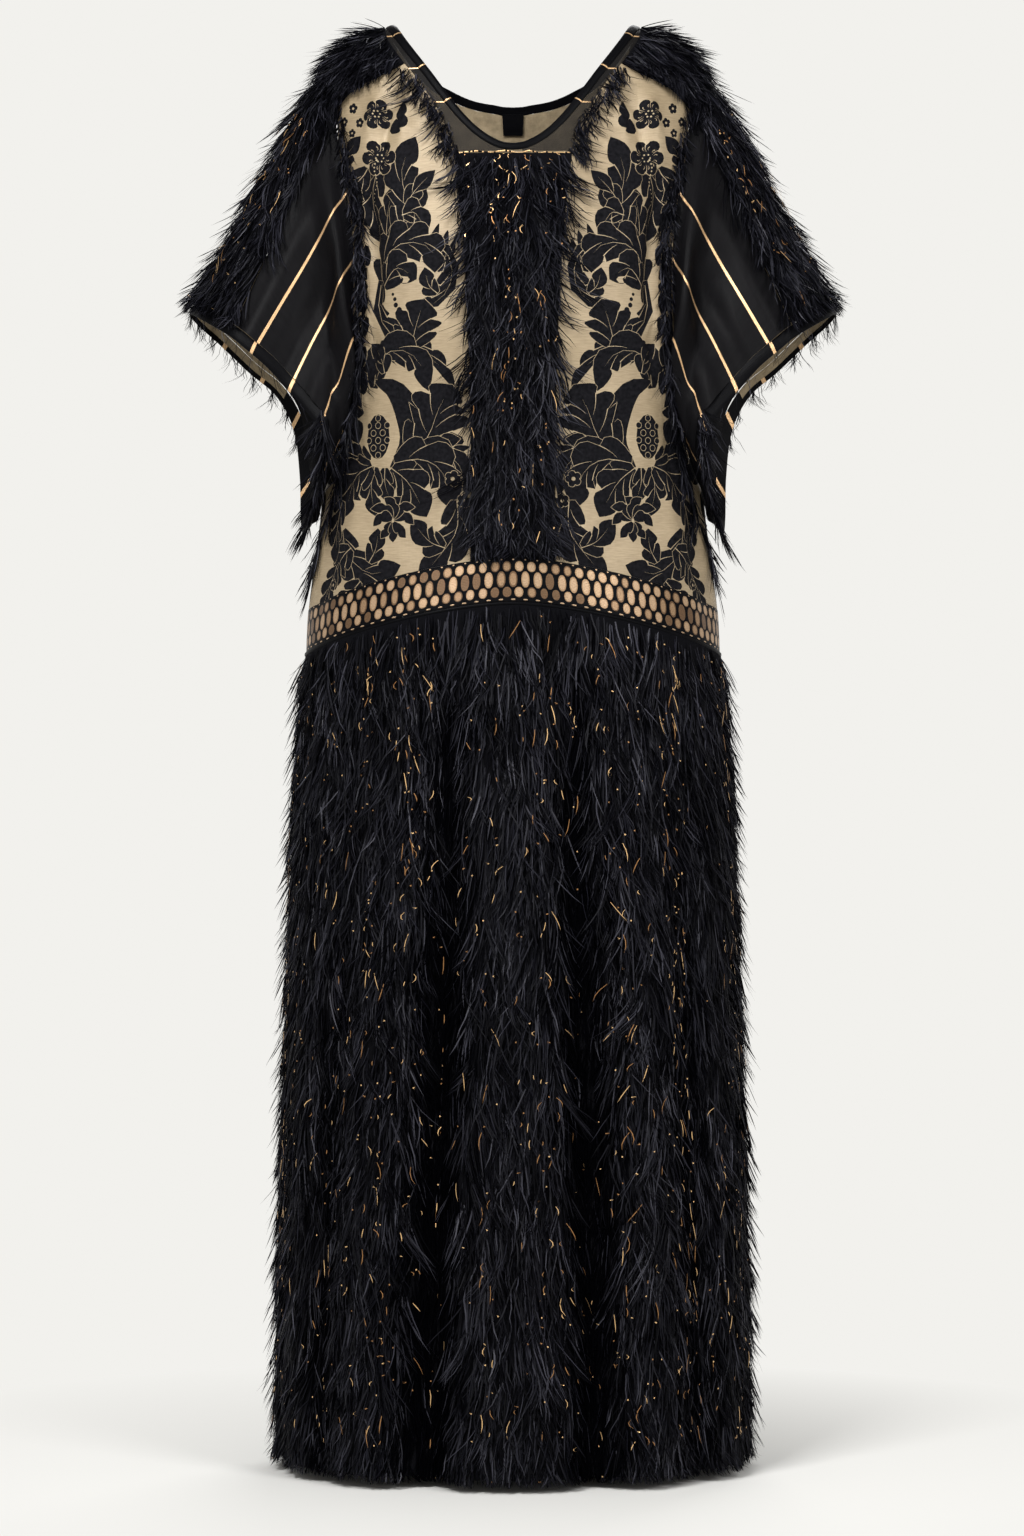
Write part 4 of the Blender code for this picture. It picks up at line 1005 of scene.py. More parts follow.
def pile(
    name, surface, grid, per_square_cm, coat, seed, comb=None, room_at=None, base=2.0 * MM, deep_at=None
):
    """A coat of strands over a grid of spots. room_at, a function of spots and points, is how far they may
    fall, comb how they are pulled aside, or a function of spots for that, base how far off the cloth they
    start, and deep_at how deep in a fold they are."""
    random = np.random.default_rng(seed)
    area = scattered(surface, grid, 1, random)[3]
    at, roots, normals, _ = scattered(surface, grid, int(area * 1e4 * per_square_cm), random)
    room = None
    if room_at is not None:
        room = room_at(at, roots)
        kept = room > 0.004
        at, roots, normals, room = at[kept], roots[kept], normals[kept], room[kept]
    pull = comb(at) if callable(comb) else comb
    # How deep in a fold each strand stands: there it lies flatter and gets the darkest shade, a painted
    # shade.
    deep = deep_at(at, roots) if deep_at else 0.0
    paths, across, widths, lock = grown(roots, normals, coat, random, pull, room, base, deep)
    paths[..., 2] = np.maximum(paths[..., 2], HEM_TIPS)
    paths[..., 1] = np.clip(paths[..., 1], CAD_BOX[0][1] - STRAYS_PAST, CAD_BOX[1][1] + STRAYS_PAST)
    return ribbons(name, paths, across, widths, STRAND_SLOTS, shades(lock, random, deep))


# ---- The damask's drawing -------------------------------------------------------------------------

# Places are drawn in mm, as seen from the front: from the centre line, and down from the shoulders. The
# bodice is nearer to the eye than the shoulders are, so it looks larger by SEEN_LARGER. The eye is EYE_DOWN
# below the shoulders.
SEEN_LARGER, EYE_DOWN = 1.028, 741

# Leaves as places of their spines, their greatest half width, and how many lobes each side has, counted on
# the left and right of the way the spine runs as it is seen on the wearer's right
Leaf = namedtuple("Leaf", "spine width left right")
LEAVES = (
    # the small leaves under the shoulder, and the column beside the armhole
    Leaf(((126, 98), (114, 88), (111, 66)), 8, 2, 3),
    Leaf(((174, 148), (170, 122), (154, 100)), 11, 3, 3),
    Leaf(((136, 132), (147, 170), (136, 212)), 17, 3, 4),
    Leaf(((148, 132), (162, 158), (156, 196)), 12, 3, 3),
    Leaf(((128, 216), (126, 186), (120, 156)), 12, 3, 3),
    # the spray
    Leaf(((114, 208), (106, 176), (112, 140), (98, 104)), 19, 4, 4),
    Leaf(((108, 176), (96, 158), (78, 140)), 9, 2, 2),
    Leaf(((112, 186), (98, 184), (86, 206)), 13, 2, 3),
    # the great scroll, with three claws on its crest
    Leaf(((92, 216), (81, 213), (74, 196)), 4.4, 0, 0),
    Leaf(((82, 222), (70, 218), (65, 203)), 4.2, 0, 0),
    Leaf(((74, 231), (63, 226), (58, 212)), 3.8, 0, 0),
    Leaf(((86, 214), (66, 226), (61, 252), (74, 274), (102, 284)), 15, 0, 5),
    Leaf(((134, 256), (126, 226), (104, 214), (82, 222), (78, 246)), 20, 6, 3),
    Leaf(((132, 260), (116, 240), (96, 252)), 16, 3, 3),
    Leaf(((74, 268), (84, 258), (88, 240)), 9, 2, 2),
    # its long stem, and the leaf that stands on it
    Leaf(((136, 248), (138, 280), (122, 306), (96, 322), (74, 338), (58, 364)), 14, 7, 0),
    Leaf(((102, 324), (97, 300), (88, 272)), 23, 3, 3),
    Leaf(((141, 362), (136, 332), (114, 322), (94, 334), (84, 364)), 17, 3, 5),
    Leaf(((128, 346), (132, 330), (144, 314)), 10, 2, 2),
    # the plain drop and the great leaf
    Leaf(((139, 352), (118, 362), (105, 386), (104, 414), (122, 440)), 13, 0, 0),
    Leaf(((104, 436), (84, 408), (74, 382), (60, 358)), 30, 4, 5),
    Leaf(((94, 432), (72, 416), (52, 412)), 8, 2, 2),
    Leaf(((80, 426), (62, 427), (42, 420)), 7, 2, 0),
    # the palmette
    Leaf(((104, 430), (76, 424), (54, 438), (45, 468)), 13, 2, 4),
    Leaf(((122, 436), (92, 432), (70, 446), (60, 482)), 21, 3, 5),
    Leaf(((124, 438), (104, 456), (86, 490)), 19, 3, 4),
    Leaf(((128, 438), (128, 456), (122, 476)), 9, 2, 2),
    Leaf(((138, 436), (142, 460), (138, 488)), 12, 3, 3),
    Leaf(((140, 432), (164, 430), (188, 452)), 14, 3, 4),
    Leaf(((138, 436), (160, 450), (170, 488)), 20, 4, 4),
    # the foot
    Leaf(((56, 470), (56, 502), (72, 528), (94, 552)), 18, 3, 4),
    Leaf(((66, 522), (84, 514), (102, 492)), 13, 2, 3),
    Leaf(((172, 498), (164, 528), (142, 546), (112, 538)), 18, 4, 4),
    Leaf(((146, 536), (138, 520), (136, 500)), 11, 2, 2),
    Leaf(((160, 518), (174, 534), (182, 560)), 15, 3, 3),
    # the next repeat, at the side
    Leaf(((152, 210), (159, 246), (150, 284)), 14, 4, 4),
    Leaf(((148, 284), (157, 306), (150, 336)), 12, 3, 3),
    Leaf(((150, 338), (164, 370), (158, 414)), 16, 4, 4),
    Leaf(((164, 398), (179, 420), (182, 452)), 14, 3, 3),
    Leaf(((172, 468), (181, 500), (183, 534)), 14, 3, 4),
    Leaf(((190, 458), (196, 488), (199, 520)), 13, 3, 3),
    Leaf(((178, 536), (188, 560), (195, 586)), 14, 3, 3),
    Leaf(((198, 520), (204, 546), (208, 576)), 12, 3, 3),
    Leaf(((152, 552), (164, 566), (180, 580)), 11, 2, 2),
)
# More leaves for the middle of the back, where the front has its placket
BACK_LEAVES = (
    Leaf(((12, 160), (22, 140), (46, 126)), 11, 3, 2),
    Leaf(((4, 156), (8, 132), (3, 108)), 9, 2, 2),
    Leaf(((8, 168), (26, 172), (46, 194)), 12, 3, 3),
    Leaf(((4, 246), (16, 218), (36, 216), (44, 240)), 12, 0, 5),
    Leaf(((3, 250), (18, 258), (26, 282)), 11, 2, 3),
    Leaf(((4, 352), (14, 324), (34, 304)), 13, 3, 4),
    Leaf(((5, 360), (24, 354), (46, 370)), 11, 3, 3),
    Leaf(((3, 370), (14, 390), (14, 416)), 10, 2, 3),
    Leaf(((5, 480), (18, 456), (40, 452)), 11, 3, 3),
    Leaf(((4, 488), (22, 496), (34, 520)), 11, 3, 3),
    Leaf(((5, 568), (16, 546), (34, 540)), 10, 2, 3),
)

Flower = namedtuple("Flower", "x down radius petals")
FLOWERS = (
    Flower(137, 79, 15.5, 6),
    Flower(162, 70, 5.6, 5),
    Flower(171, 83, 5.2, 5),
    Flower(155, 86, 5.2, 5),
    Flower(163, 96, 4.6, 5),
    Flower(136, 124, 19, 6),
    Flower(60, 452, 8.0, 5),
    Flower(49, 474, 7.0, 5),
    Flower(182, 556, 6.0, 5),
)
BACK_FLOWERS = (Flower(0, 196, 16, 7), Flower(0, 300, 14, 6), Flower(0, 430, 16, 7), Flower(0, 524, 13, 6))

Dot = namedtuple("Dot", "x down radius slot")
BLACK, BARE = 1, 0
DOTS = (
    # growing dots under the scroll
    Dot(120, 266, 1.6, BLACK),
    Dot(118, 271, 2.0, BLACK),
    Dot(117, 277, 2.5, BLACK),
    Dot(113.5, 282, 2.9, BLACK),
    Dot(108, 286.5, 3.5, BLACK),
    # two sprigs of berries beside the mid leaf
    Dot(141, 318, 3.6, BLACK),
    Dot(131, 315, 3.6, BLACK),
    Dot(140, 330, 3.6, BLACK),
    Dot(139, 342, 3.4, BLACK),
    Dot(132, 327, 3.2, BLACK),
    Dot(133, 350, 3.0, BLACK),
)
# The chain of small bare dots that hangs from the column flower: its ends, and how many
CHAIN_TOP, CHAIN_FOOT, CHAIN_DOTS = (139, 126), (143, 172), 13
CONE_CENTRE, CONE_SIZE = (135, 408), (13, 22)  # the berry cone over the palmette
FLEURS = ((120, 492),)  # where a fan of leaves springs
BACK_FLEURS = ((0, 566), (0, 262))
FAN_ANGLES = (-96, -56, -18, 20, 58, 98)
HALO, VEIN = 0.42 * MM, 0.45 * MM  # the bare line round each leaf, and half a vein


SCALLOP, NOTCH = 5, 0.56  # the places along each lobe's edge, and how far its notches stand from the spine
LEAN = 0.55  # how far lobes lean towards the leaf's tip, in shares of how far they stand out
FULLER = 1.12  # how much wider the leaves are than their table says
LEAST_VEINED = 9.0 * MM  # the half width of the smallest leaf with veins


def along_spine(spine, shares):
    """Places along a spine, by shares of it, with the way it runs there and what lies square to that, on the
    left as it is seen on the wearer's right."""
    last = len(spine) - 1
    shares = np.clip(shares, 0.0, 1.0)
    ahead, behind = np.minimum(shares + 0.02, 1.0), np.maximum(shares - 0.02, 0.0)
    way = unit(spline(spine, ahead * last) - spline(spine, behind * last))
    return spline(spine, shares * last), way, np.stack([way[..., 1], -way[..., 0]], -1)


def plain_leaf(spine, width):
    """The rings of a leaf with smooth edges, or of a stem."""
    shares = np.linspace(0, 1, 12)
    here, _, square = along_spine(spine, shares)
    half = (width * np.sin(np.pi * (0.03 + 0.94 * shares)) ** 0.9)[:, None]
    ring = np.concatenate([here + square * half, (here - square * half)[::-1]])
    return [(swollen(ring, HALO), BARE), (ring, BLACK)]


def leaf_edge(spine, width, side, count):
    """One edge of a leaf from its foot to its tip, with this many round lobes that lean towards the tip."""
    share = np.linspace(0, 1, SCALLOP * max(count, 1) + 1)
    reach = width * np.sin(np.pi * (0.10 + 0.90 * share**0.85)) ** 0.55
    if count:
        reach = reach * (NOTCH + (1 - NOTCH) * abs(np.sin(np.pi * count * share)) ** 0.6)
    else:
        reach = reach * 0.42
    here, way, square = along_spine(spine, 0.90 * share + 0.10 * share**3)
    return here + (side * square + LEAN * way * (1 - share[:, None] ** 3)) * reach[:, None]


def leaf(spine, width, left, right):
    """The rings of a leaf of round lobes: a bare line round it, its blade, and bare veins."""
    spine = np.asarray(spine)
    if not (left or right):
        return plain_leaf(spine, width)
    width = width * FULLER
    edges = [leaf_edge(spine, width, side, count) for side, count in ((1, left), (-1, right))]
    blade = np.concatenate([edges[0], edges[1][::-1]])
    rings = [(swollen(blade, HALO), BARE), (blade, BLACK)]
    if width > LEAST_VEINED:
        shares = np.linspace(0.04, 0.80, 7)
        here, _, square = along_spine(spine, shares)
        half = (VEIN * (1 - shares / 0.85))[:, None]
        rings.append((np.concatenate([here + square * half, (here - square * half)[::-1]]), BARE))
        for edge, side, count in zip(edges, (1, -1), (left, right)):
            for k in range(1, count):
                foot, _, out = (found[0] for found in along_spine(spine, np.array([0.9 * k / count - 0.10])))
                rings.append((vein(edge[SCALLOP * k], foot + side * out * 0.10 * width), BARE))
    return rings


def vein(notch, foot):
    """A bare slit that narrows from a leaf's notch towards its spine."""
    way = foot - notch
    bow = np.array([-way[1], way[0]]) * 0.06
    return tapered(np.array([notch - way * 0.08, (notch + foot) / 2 + bow, foot]), VEIN)


def swollen(ring, distance):
    """A ring moved outwards by a distance."""
    way = unit(np.roll(ring, -1, axis=0) - np.roll(ring, 1, axis=0))
    out = np.stack([way[:, 1], -way[:, 0]], -1)
    after = np.roll(ring, -1, axis=0)
    turning = (ring[:, 0] * after[:, 1] - after[:, 0] * ring[:, 1]).sum()
    return ring + out * distance * (1 if turning > 0 else -1)


def tapered(line, half_width):
    """A thin curved ring along three places, pointed at its end."""
    shares = np.linspace(0, 2, 4)
    here = spline(line, shares)
    way = unit(np.gradient(here, axis=0))
    square = np.stack([-way[:, 1], way[:, 0]], -1)
    half = (half_width * (1 - 0.42 * shares))[:, None]
    return np.concatenate([here + square * half, (here - square * half)[::-1]])


def disc(centre, radius, sides=10, turn=0.0, petals=0, depth=0.22):
    """A round ring, or one with rounded petals."""
    angles = np.linspace(0, 2 * np.pi, sides, endpoint=False) + turn
    reach = radius
    if petals:
        reach = radius * (1 - depth * (1 - abs(np.cos((angles - turn) * petals / 2)) ** 0.6))
    return np.stack([np.cos(angles), np.sin(angles)], -1) * np.asarray(reach).reshape(-1, 1) + centre


def flower(centre, radius, petals):
    """Rings of a flower: a bare line round it, its petals, and bare lines and dots in its heart."""
    turn = 0.3 + radius * 40
    rings = [(disc(centre, radius + HALO, 6 * petals, turn, petals), BARE)]
    rings.append((disc(centre, radius, 6 * petals, turn, petals, 0.30), BLACK))
    if radius < 9 * MM:
        rings.append((disc(centre, radius * 0.26, 7), BARE))
        return rings
    for k in range(petals):
        for offset, near, far in ((0.0, 0.34, 0.86), (0.24, 0.42, 0.62), (-0.24, 0.42, 0.62)):
            angle = turn + 2 * np.pi * (k + 0.5) / petals + offset
            bend = np.array([math.cos(angle + 0.12), math.sin(angle + 0.12)])
            way = np.array([math.cos(angle), math.sin(angle)])
            line = np.array([centre + way * radius * far, centre + bend * radius * (near + far) / 2])
            line = np.concatenate([line, [centre + way * radius * near]])
            rings.append((tapered(line, 0.42 * MM), BARE))
    for k in range(6):
        angle = turn + k * np.pi / 3
        place = centre + radius * 0.20 * np.array([math.cos(angle), math.sin(angle)])
        rings.append((disc(place, 0.9 * MM, 6), BARE))
    return rings


def fan(cut_of, x, down):
    """Rings of a fleur: leaves that spring from one place, and a trefoil under it."""
    rings = []
    for angle in FAN_ANGLES:
        turn = math.radians(angle)
        reach = 27 if abs(angle) < 90 else 21
        bend = 5 * np.sign(angle)
        way = np.array([math.sin(turn), -math.cos(turn)])
        side = np.array([-way[1], way[0]])
        foot = np.array([x, down])
        spine = [foot, foot + way * reach * 0.5 - side * bend, foot + way * reach + (0, 3)]
        rings += leaf(cut_of(spine), 5.4 * MM, 2, 2)
    for angle in (-38, 0, 38):
        turn = math.radians(180 + angle)
        way = np.array([math.sin(turn), -math.cos(turn)])
        spine = [np.array([x, down + 2]) + way * reach for reach in (0, 11, 21)]
        rings += leaf(cut_of(spine), 4.8 * MM, 1, 2)
    return rings


def cone(cut_of):
    """Rings of a cone of berries, each with a bare crescent."""
    centre = cut_of([CONE_CENTRE])[0]
    body_ring = disc((0, 0), 1.0, 16) * (CONE_SIZE[0] * MM, CONE_SIZE[1] * MM) + centre
    rings = [(body_ring, BLACK)]
    for row in range(6):
        share = row / 5
        count = 2 + (row % 2) if 0 < row < 5 else 1
        for k in range(count):
            x = CONE_CENTRE[0] + (k - (count - 1) / 2) * CONE_SIZE[0] * 0.72
            down = CONE_CENTRE[1] + (share - 0.5) * 1.7 * CONE_SIZE[1]
            centre = cut_of([(x, down)])[0]
            rings += [(disc(centre, 3.4 * MM, 9), BARE), (disc(centre, 2.9 * MM, 9), BLACK)]
    return rings


def seen_on(cut):
    """Turns drawn places, on either side of the centre line, into places on the cut."""

    def turned(places):
        places = np.asarray(places, float)
        x = abs(places[:, 0]) / SEEN_LARGER
        down = EYE_DOWN + (places[:, 1] - EYE_DOWN) / SEEN_LARGER
        found = cut.drawn(np.stack([x, down], -1))
        return found * np.stack([np.where(places[:, 0] < 0, -1, 1), np.ones(len(found))], -1)

    return turned


def damask_figures(cut, back=False):
    """The rings of the damask's pattern on one half of a front or back."""
    cut_of = seen_on(cut)
    rings = []
    for row in LEAVES + (BACK_LEAVES if back else ()):
        rings += leaf(cut_of(row.spine), row.width * MM, row.left, row.right)
    for row in FLOWERS + (BACK_FLOWERS if back else ()):
        rings += flower(cut_of([(row.x, row.down)])[0], row.radius * MM, row.petals)
    for row in DOTS:
        rings.append((disc(cut_of([(row.x, row.down)])[0], row.radius * MM), row.slot))
    for share in np.linspace(0, 1, CHAIN_DOTS):
        place = np.array(CHAIN_TOP) * (1 - share) + np.array(CHAIN_FOOT) * share
        place = place + (2.2 * math.sin(share * 9), 0)
        rings.append((disc(cut_of([place])[0], (1.1 - 0.5 * share) * MM, 6), BARE))
    rings += cone(cut_of)
    for x, down in FLEURS + (BACK_FLEURS if back else ()):
        rings += fan(cut_of, x, down)
    return rings


# ---- Seams that pieces share ----------------------------------------------------------------------


def neck_line(outer=True):
    """The neck binding's inner or outer edge on the wearer's left, from centre front to centre back."""
    found = [
        spot_at(row.front, row.x_out if outer else row.x, row.z_out if outer else row.z) for row in NECK
    ]
    found[NECK_RIDGE_ROW][1] = 0.0
    return stations(found)


def neck_between(first, last):
    return neck_line()[first * 2 : last * 2 + 1]


def placket_line():
    foot = band_line(True, 0.0, [PLACKET_HALF_ANGLE])[0]
    return stations([spot_at(*row) for row in PLACKET_SEAM] + [foot])


def yoke_top_line():
    ridge = neck_line()[NECK_RIDGE_ROW * 2]
    return stations([spot_at(*row) for row in YOKE_TOP_SEAM] + [ridge])


def shoulder_front_line():
    return stations([spot_at(*row) for row in SHOULDER_FRONT_SEAM] + [armhole(TOP_FRONT_ROW)])


def shoulder_back_line():
    start = neck_line()[NECK_BACK_ROW * 2]
    return stations([start] + [spot_at(*row) for row in SHOULDER_BACK_SEAM] + [armhole(TOP_BACK_ROW)])


def around(*lines):
    """One outline from seams that follow on from each other, without the spots that repeat."""
    found = [lines[0][0]]
    for spot in np.concatenate(lines)[1:]:
        if abs(spot - found[-1]).max() > 1e-6:
            found.append(spot)
    if abs(found[0] - found[-1]).max() < 1e-6:
        found.pop()
    return np.array(found)


# ---- Cloth pieces ---------------------------------------------------------------------------------

# Creases of the bodice: where one starts and ends on the flat cut's drawing in mm, its spread there, and how
# far it stands out in metres (or in, if negative).
Crease = namedtuple("Crease", "x down x_end down_end spread out")
CREASES = (
    Crease(120, 44, 135, 138, 5, -0.0060),
    Crease(134, 46, 152, 126, 6, 0.0052),
    Crease(104, 56, 114, 124, 7, 0.0042),
    Crease(112, 52, 122, 104, 4, -0.0036),
    Crease(152, 140, 136, 262, 7, -0.0062),
    Crease(136, 236, 142, 352, 7, -0.0052),
    Crease(142, 330, 166, 470, 8, -0.0048),
    Crease(122, 150, 112, 250, 7, 0.0030),
    Crease(66, 300, 62, 520, 9, 0.0016),
    Crease(58, 470, 60, 545, 6, -0.0022),
    Crease(72, 480, 76, 545, 7, 0.0022),
    Crease(150, 430, 172, 560, 9, 0.0026),
    Crease(130, 470, 150, 560, 10, -0.0020),
    Crease(176, 470, 186, 570, 7, -0.0024),
    Crease(94, 500, 100, 548, 8, -0.0016),
)


def creased(cut, edge_keep):
    """A height function for creases, which fade out at the edges that edge_keep holds."""
    ends = [(seen_on(cut)([(c.x, c.down), (c.x_end, c.down_end)]), c) for c in CREASES]
    tree = KDTree(len(edge_keep))
    for i, place in enumerate(edge_keep):
        tree.insert((*place, 0), i)
    tree.balance()

    def height(places):
        total = np.zeros(len(places))
        for (start, end), crease in ends:
            way = end - start
            along = np.clip(((places - start) @ way) / (way @ way), 0, 1)
            off = np.linalg.norm(places - start - along[:, None] * way, axis=1)
            total += crease.out * bell(off, crease.spread * MM) * np.sin(np.pi * np.clip(along, 0.12, 0.88))
        near = np.array([tree.find((*p, 0))[2] for p in places])
        return total * ramp(near, 0.0, 0.012)

    return height


def front_outline():
    return around(
        placket_line()[::-1],
        seam(YOKE_SEAM),
        shoulder_front_line(),
        armhole_line(TOP_FRONT_ROW, UNDERARM_ROW),
        band_line(True, 0.0, np.linspace(PLACKET_HALF_ANGLE, 90, 18))[::-1],
    )


def back_outline():
    """The left half of the back's ring, closed along the centre line."""
    neck = neck_between(NECK_BACK_ROW, len(NECK) - 1)[::-1]
    foot = band_line(False, 0.0, np.linspace(0, 90, 21))[::-1]
    centre = spots(0.0, np.linspace(foot[-1, 1], neck[0, 1], 46)[1:-1])
    arm = armhole_line(TOP_BACK_ROW, UNDERARM_ROW)[:-1]
    return around(neck, shoulder_back_line(), arm, ARM_BACK[:1], foot, centre)


def lifted(cut, surface):
    def lift(places):
        at = cut.spots(places)
        return surface.points(at), surface.normals(at)

    return lift


def wrong_side(places):
    return np.full(len(places), 2)


def bodice():
    slots = ["ground", "figure", "wrong"]
    outline = FRONT_CUT.places(front_outline())
    pattern = drawn(outline, damask_figures(FRONT_CUT), 0.009)
    height = creased(FRONT_CUT, outline)
    for side, name in SIDES:
        made, area, size = woven(
            f"damask_front_{name}", lifted(FRONT_CUT, body_on(side)), pattern, 0.1 * MM, 1.2 * MM,
            slots, [f"front_panel_{name}"], inside=wrong_side, height=height,
        )
        cut(made, area, size, ["hip_band_front", f"shoulder_{name}"])
    outline = BACK_CUT.places(back_outline())
    pattern = both_halves(*drawn(outline, damask_figures(BACK_CUT, back=True), 0.010))
    edge = np.array([place for place in outline if abs(place[0]) > 1e-6])
    half_height = creased(BACK_CUT, np.concatenate([edge, edge * (-1, 1)]))
    made, area, size = woven(
        "damask_back", lifted(BACK_CUT, body_on(1)), pattern, 0.1 * MM, 1.2 * MM,
        slots, ["back_panel"], inside=wrong_side,
        height=lambda places: half_height(np.stack([abs(places[:, 0]), places[:, 1]], -1)),
    )
    cut(made, area, size, ["hip_band_back", "shoulder_left", "shoulder_right"])


PINSTRIPE_DROPS = (0.014, 0.050, 0.086)  # of the yoke's pinstripes, below the shoulders
PINSTRIPE = 1.3 * MM


def level_strip(z, half, reach=0.2):
    """A ring for a level stripe on the flat cut."""
    return np.array([(0, z - half), (reach, z - half), (reach, z + half), (0, z + half)])


def yokes():
    foot = spot_at(True, NECK[NECK_YOKE_ROW].x_out, PIPING_TOP)
    outline = around(
        foot[None],
        neck_between(NECK_YOKE_ROW, NECK_RIDGE_ROW),
        yoke_top_line()[::-1],
        seam(YOKE_SEAM)[::-1],
    )
    outline = FRONT_CUT.places(outline)
    pattern = drawn(outline, [(level_strip(-drop, PINSTRIPE / 2), 1) for drop in PINSTRIPE_DROPS], 0.010)
    for side, name in SIDES:
        made, area, size = woven(
            f"organza_yoke_{name}", lifted(FRONT_CUT, body_on(side)), pattern, 0.2 * MM, 0.6 * MM,
            ["organza", "pinstripe"], [f"yoke_{name}"],
        )
        length = max(size)  # a curved strip, as it lies straightened


def rolled_height(lines, height):
    """Heights across a binding of this many lines, round like a folded strip."""
    across = np.linspace(-1, 1, lines)
    return (height * (1 - abs(across) ** 3 * 0.6))[:, None]


def neck_edge():
    """The binding, and the short gold ticks where the yoke's pinstripes cross it."""
    inner, outer = neck_line(False), neck_line(True)
    rounds = [np.concatenate([line, mirrored(line[1:-1])[::-1]]) for line in (inner, outer)]
    rounds = [stations(np.concatenate([line, line[:1]]), 2)[:-1] for line in rounds]
    lines = 7
    grid = np.array([rounds[0] * (1 - s) + rounds[1] * s for s in np.linspace(0.0, 0.97, lines)])
    made, area, (width, length) = shell(
        "neck_edge", body_on(1), grid, 0.0, rolled_height(lines, BINDING), ["trim"],
        ["neck_binding"], closed=True,
    )
    around_it = np.linalg.norm(np.diff(body_on(1).points(rounds[0]), axis=0), axis=1).sum()
    ticks = []
    for line in (1, -1):
        for first, last in ((0, NECK_RIDGE_ROW), (NECK_RIDGE_ROW, len(NECK) - 1)):
            at = np.linspace(first * 2, last * 2, 400)
            heights = body_on(1).points(spline(outer, at))[:, 2]
            for drop in PINSTRIPE_DROPS:
                crossing = np.nonzero(np.diff(np.sign(heights + drop)))[0]
                if len(crossing):
                    ticks.append((line, at[crossing[0]]))
    for number, (sign, at) in enumerate(ticks):
        ends = [spline(line, np.array([at - 0.028, at, at + 0.028])) for line in (inner, outer)]
        grid = np.array([ends[0] * (1 - s) + ends[1] * s for s in np.linspace(0.02, 0.96, lines)])
        shell(
            f"neck_tick_{number}", body_on(sign), grid, 0.6 * MM, rolled_height(lines, BINDING) + 0.15 * MM,
            ["pinstripe"],
        )


def label():
    """A bare folded label that hangs inside the back of the neck."""
    lines, columns = 9, 7
    x = np.linspace(-LABEL_WIDTH / 2, LABEL_WIDTH / 2, columns)
    grid = []
    for share in np.linspace(0, 1, lines):
        z = LABEL_TOP - LABEL_HEIGHT * share
        grid.append([spot_at(False, value * (1 - 0.10 * share), z) for value in x])
    out = -LABEL_IN - 0.6 * MM * np.sin(np.linspace(0, np.pi, lines))[:, None]
    made, area, size = shell(
        "bare_label", body_on(1), np.array(grid), out - 0.7 * MM, out, ["trim"], ["neck_label"]
    )
    cut(made, area, size, ["neck_edge"])


def gold_cord():
    """The cord along the placket's top, as the bumps of thread wound round it."""
    half = spot_at(True, YOKE_SEAM[0].x, PIPING_TOP)[0]
    turns, sides = 62, 8
    middle = (PIPING_TOP + PLACKET_TOP) / 2
    random = np.random.default_rng(5)
    at = np.linspace(-half, half, turns * 3 + 1)
    knots = np.arange(0, len(at), 9)
    slow = np.interp(np.arange(len(at)), knots, random.normal(size=len(knots)))
    surface = body_on(1)
    centres = surface.out(spots(at, over_at(at, middle + 0.7 * MM * slow, True)), 1.2 * MM)
    swell = 0.72 + 0.28 * abs(np.sin(np.linspace(0, turns * np.pi, len(at))))
    radius = 0.88 * MM * swell * np.clip(1 + 0.22 * slow, 0.6, 1.3)
    angles = np.linspace(0, 2 * np.pi, sides, endpoint=False)
    ring = np.stack([np.zeros(sides), np.cos(angles), np.sin(angles)], -1)
    points = centres[:, None] + ring[None] * radius[:, None, None]
    faces = grid_faces(len(at), sides, closed=True)
    ends = [list(range(sides))[::-1], [len(points) * sides - sides + k for k in range(sides)]]
    corners = np.concatenate([faces.ravel(), np.array(ends).ravel()])
    starts = np.concatenate([np.arange(len(faces)) * 4, len(faces) * 4 + np.arange(2) * sides])
    # The share of turns with black gaps in the gold, more towards the cord's ends.
    gap_share = 0.14 + 0.55 * abs(np.linspace(-1, 1, turns + 1)) ** 1.5
    gaps = (random.random(turns + 1) < gap_share)[(np.arange(len(faces)) // sides) // 3]
    numbers = np.concatenate([gaps.astype(int), [0, 0]])
    piece(
        "placket_cord", points.reshape(-1, 3), corners, starts, ["gold", "trim"], numbers,
        ["placket_piping"],
    )


# The hip band's rows of ovals: how far each lies below the band's top, its half height and its shift in
# pitches
Ovals = namedtuple("Ovals", "below half_height shift")
OVAL_ROWS = (Ovals(0.0082, 0.0050, 0.0), Ovals(0.0208, 0.0079, 0.5), Ovals(0.0332, 0.0050, 0.0))
OVAL_PITCH, OVAL_HALF_WIDTH, OVAL_RIM = 0.0118, 0.0041, 0.72
DASH_BELOW, DASH_HALF_HEIGHT, DASH_HALF_WIDTH = 0.0404, 0.00065, 0.0022
DOT_BELOW, DOT_HALF_WIDTH = 0.0016, 0.0009


def oval(x, below, half_width, half_height):
    """An upright ring with flattened sides."""
    angle = np.linspace(0, 2 * np.pi, 14, endpoint=False)
    across = np.sign(np.cos(angle)) * abs(np.cos(angle)) ** 0.85
    return np.stack([x + half_width * across, -below + half_height * np.sin(angle)], -1)


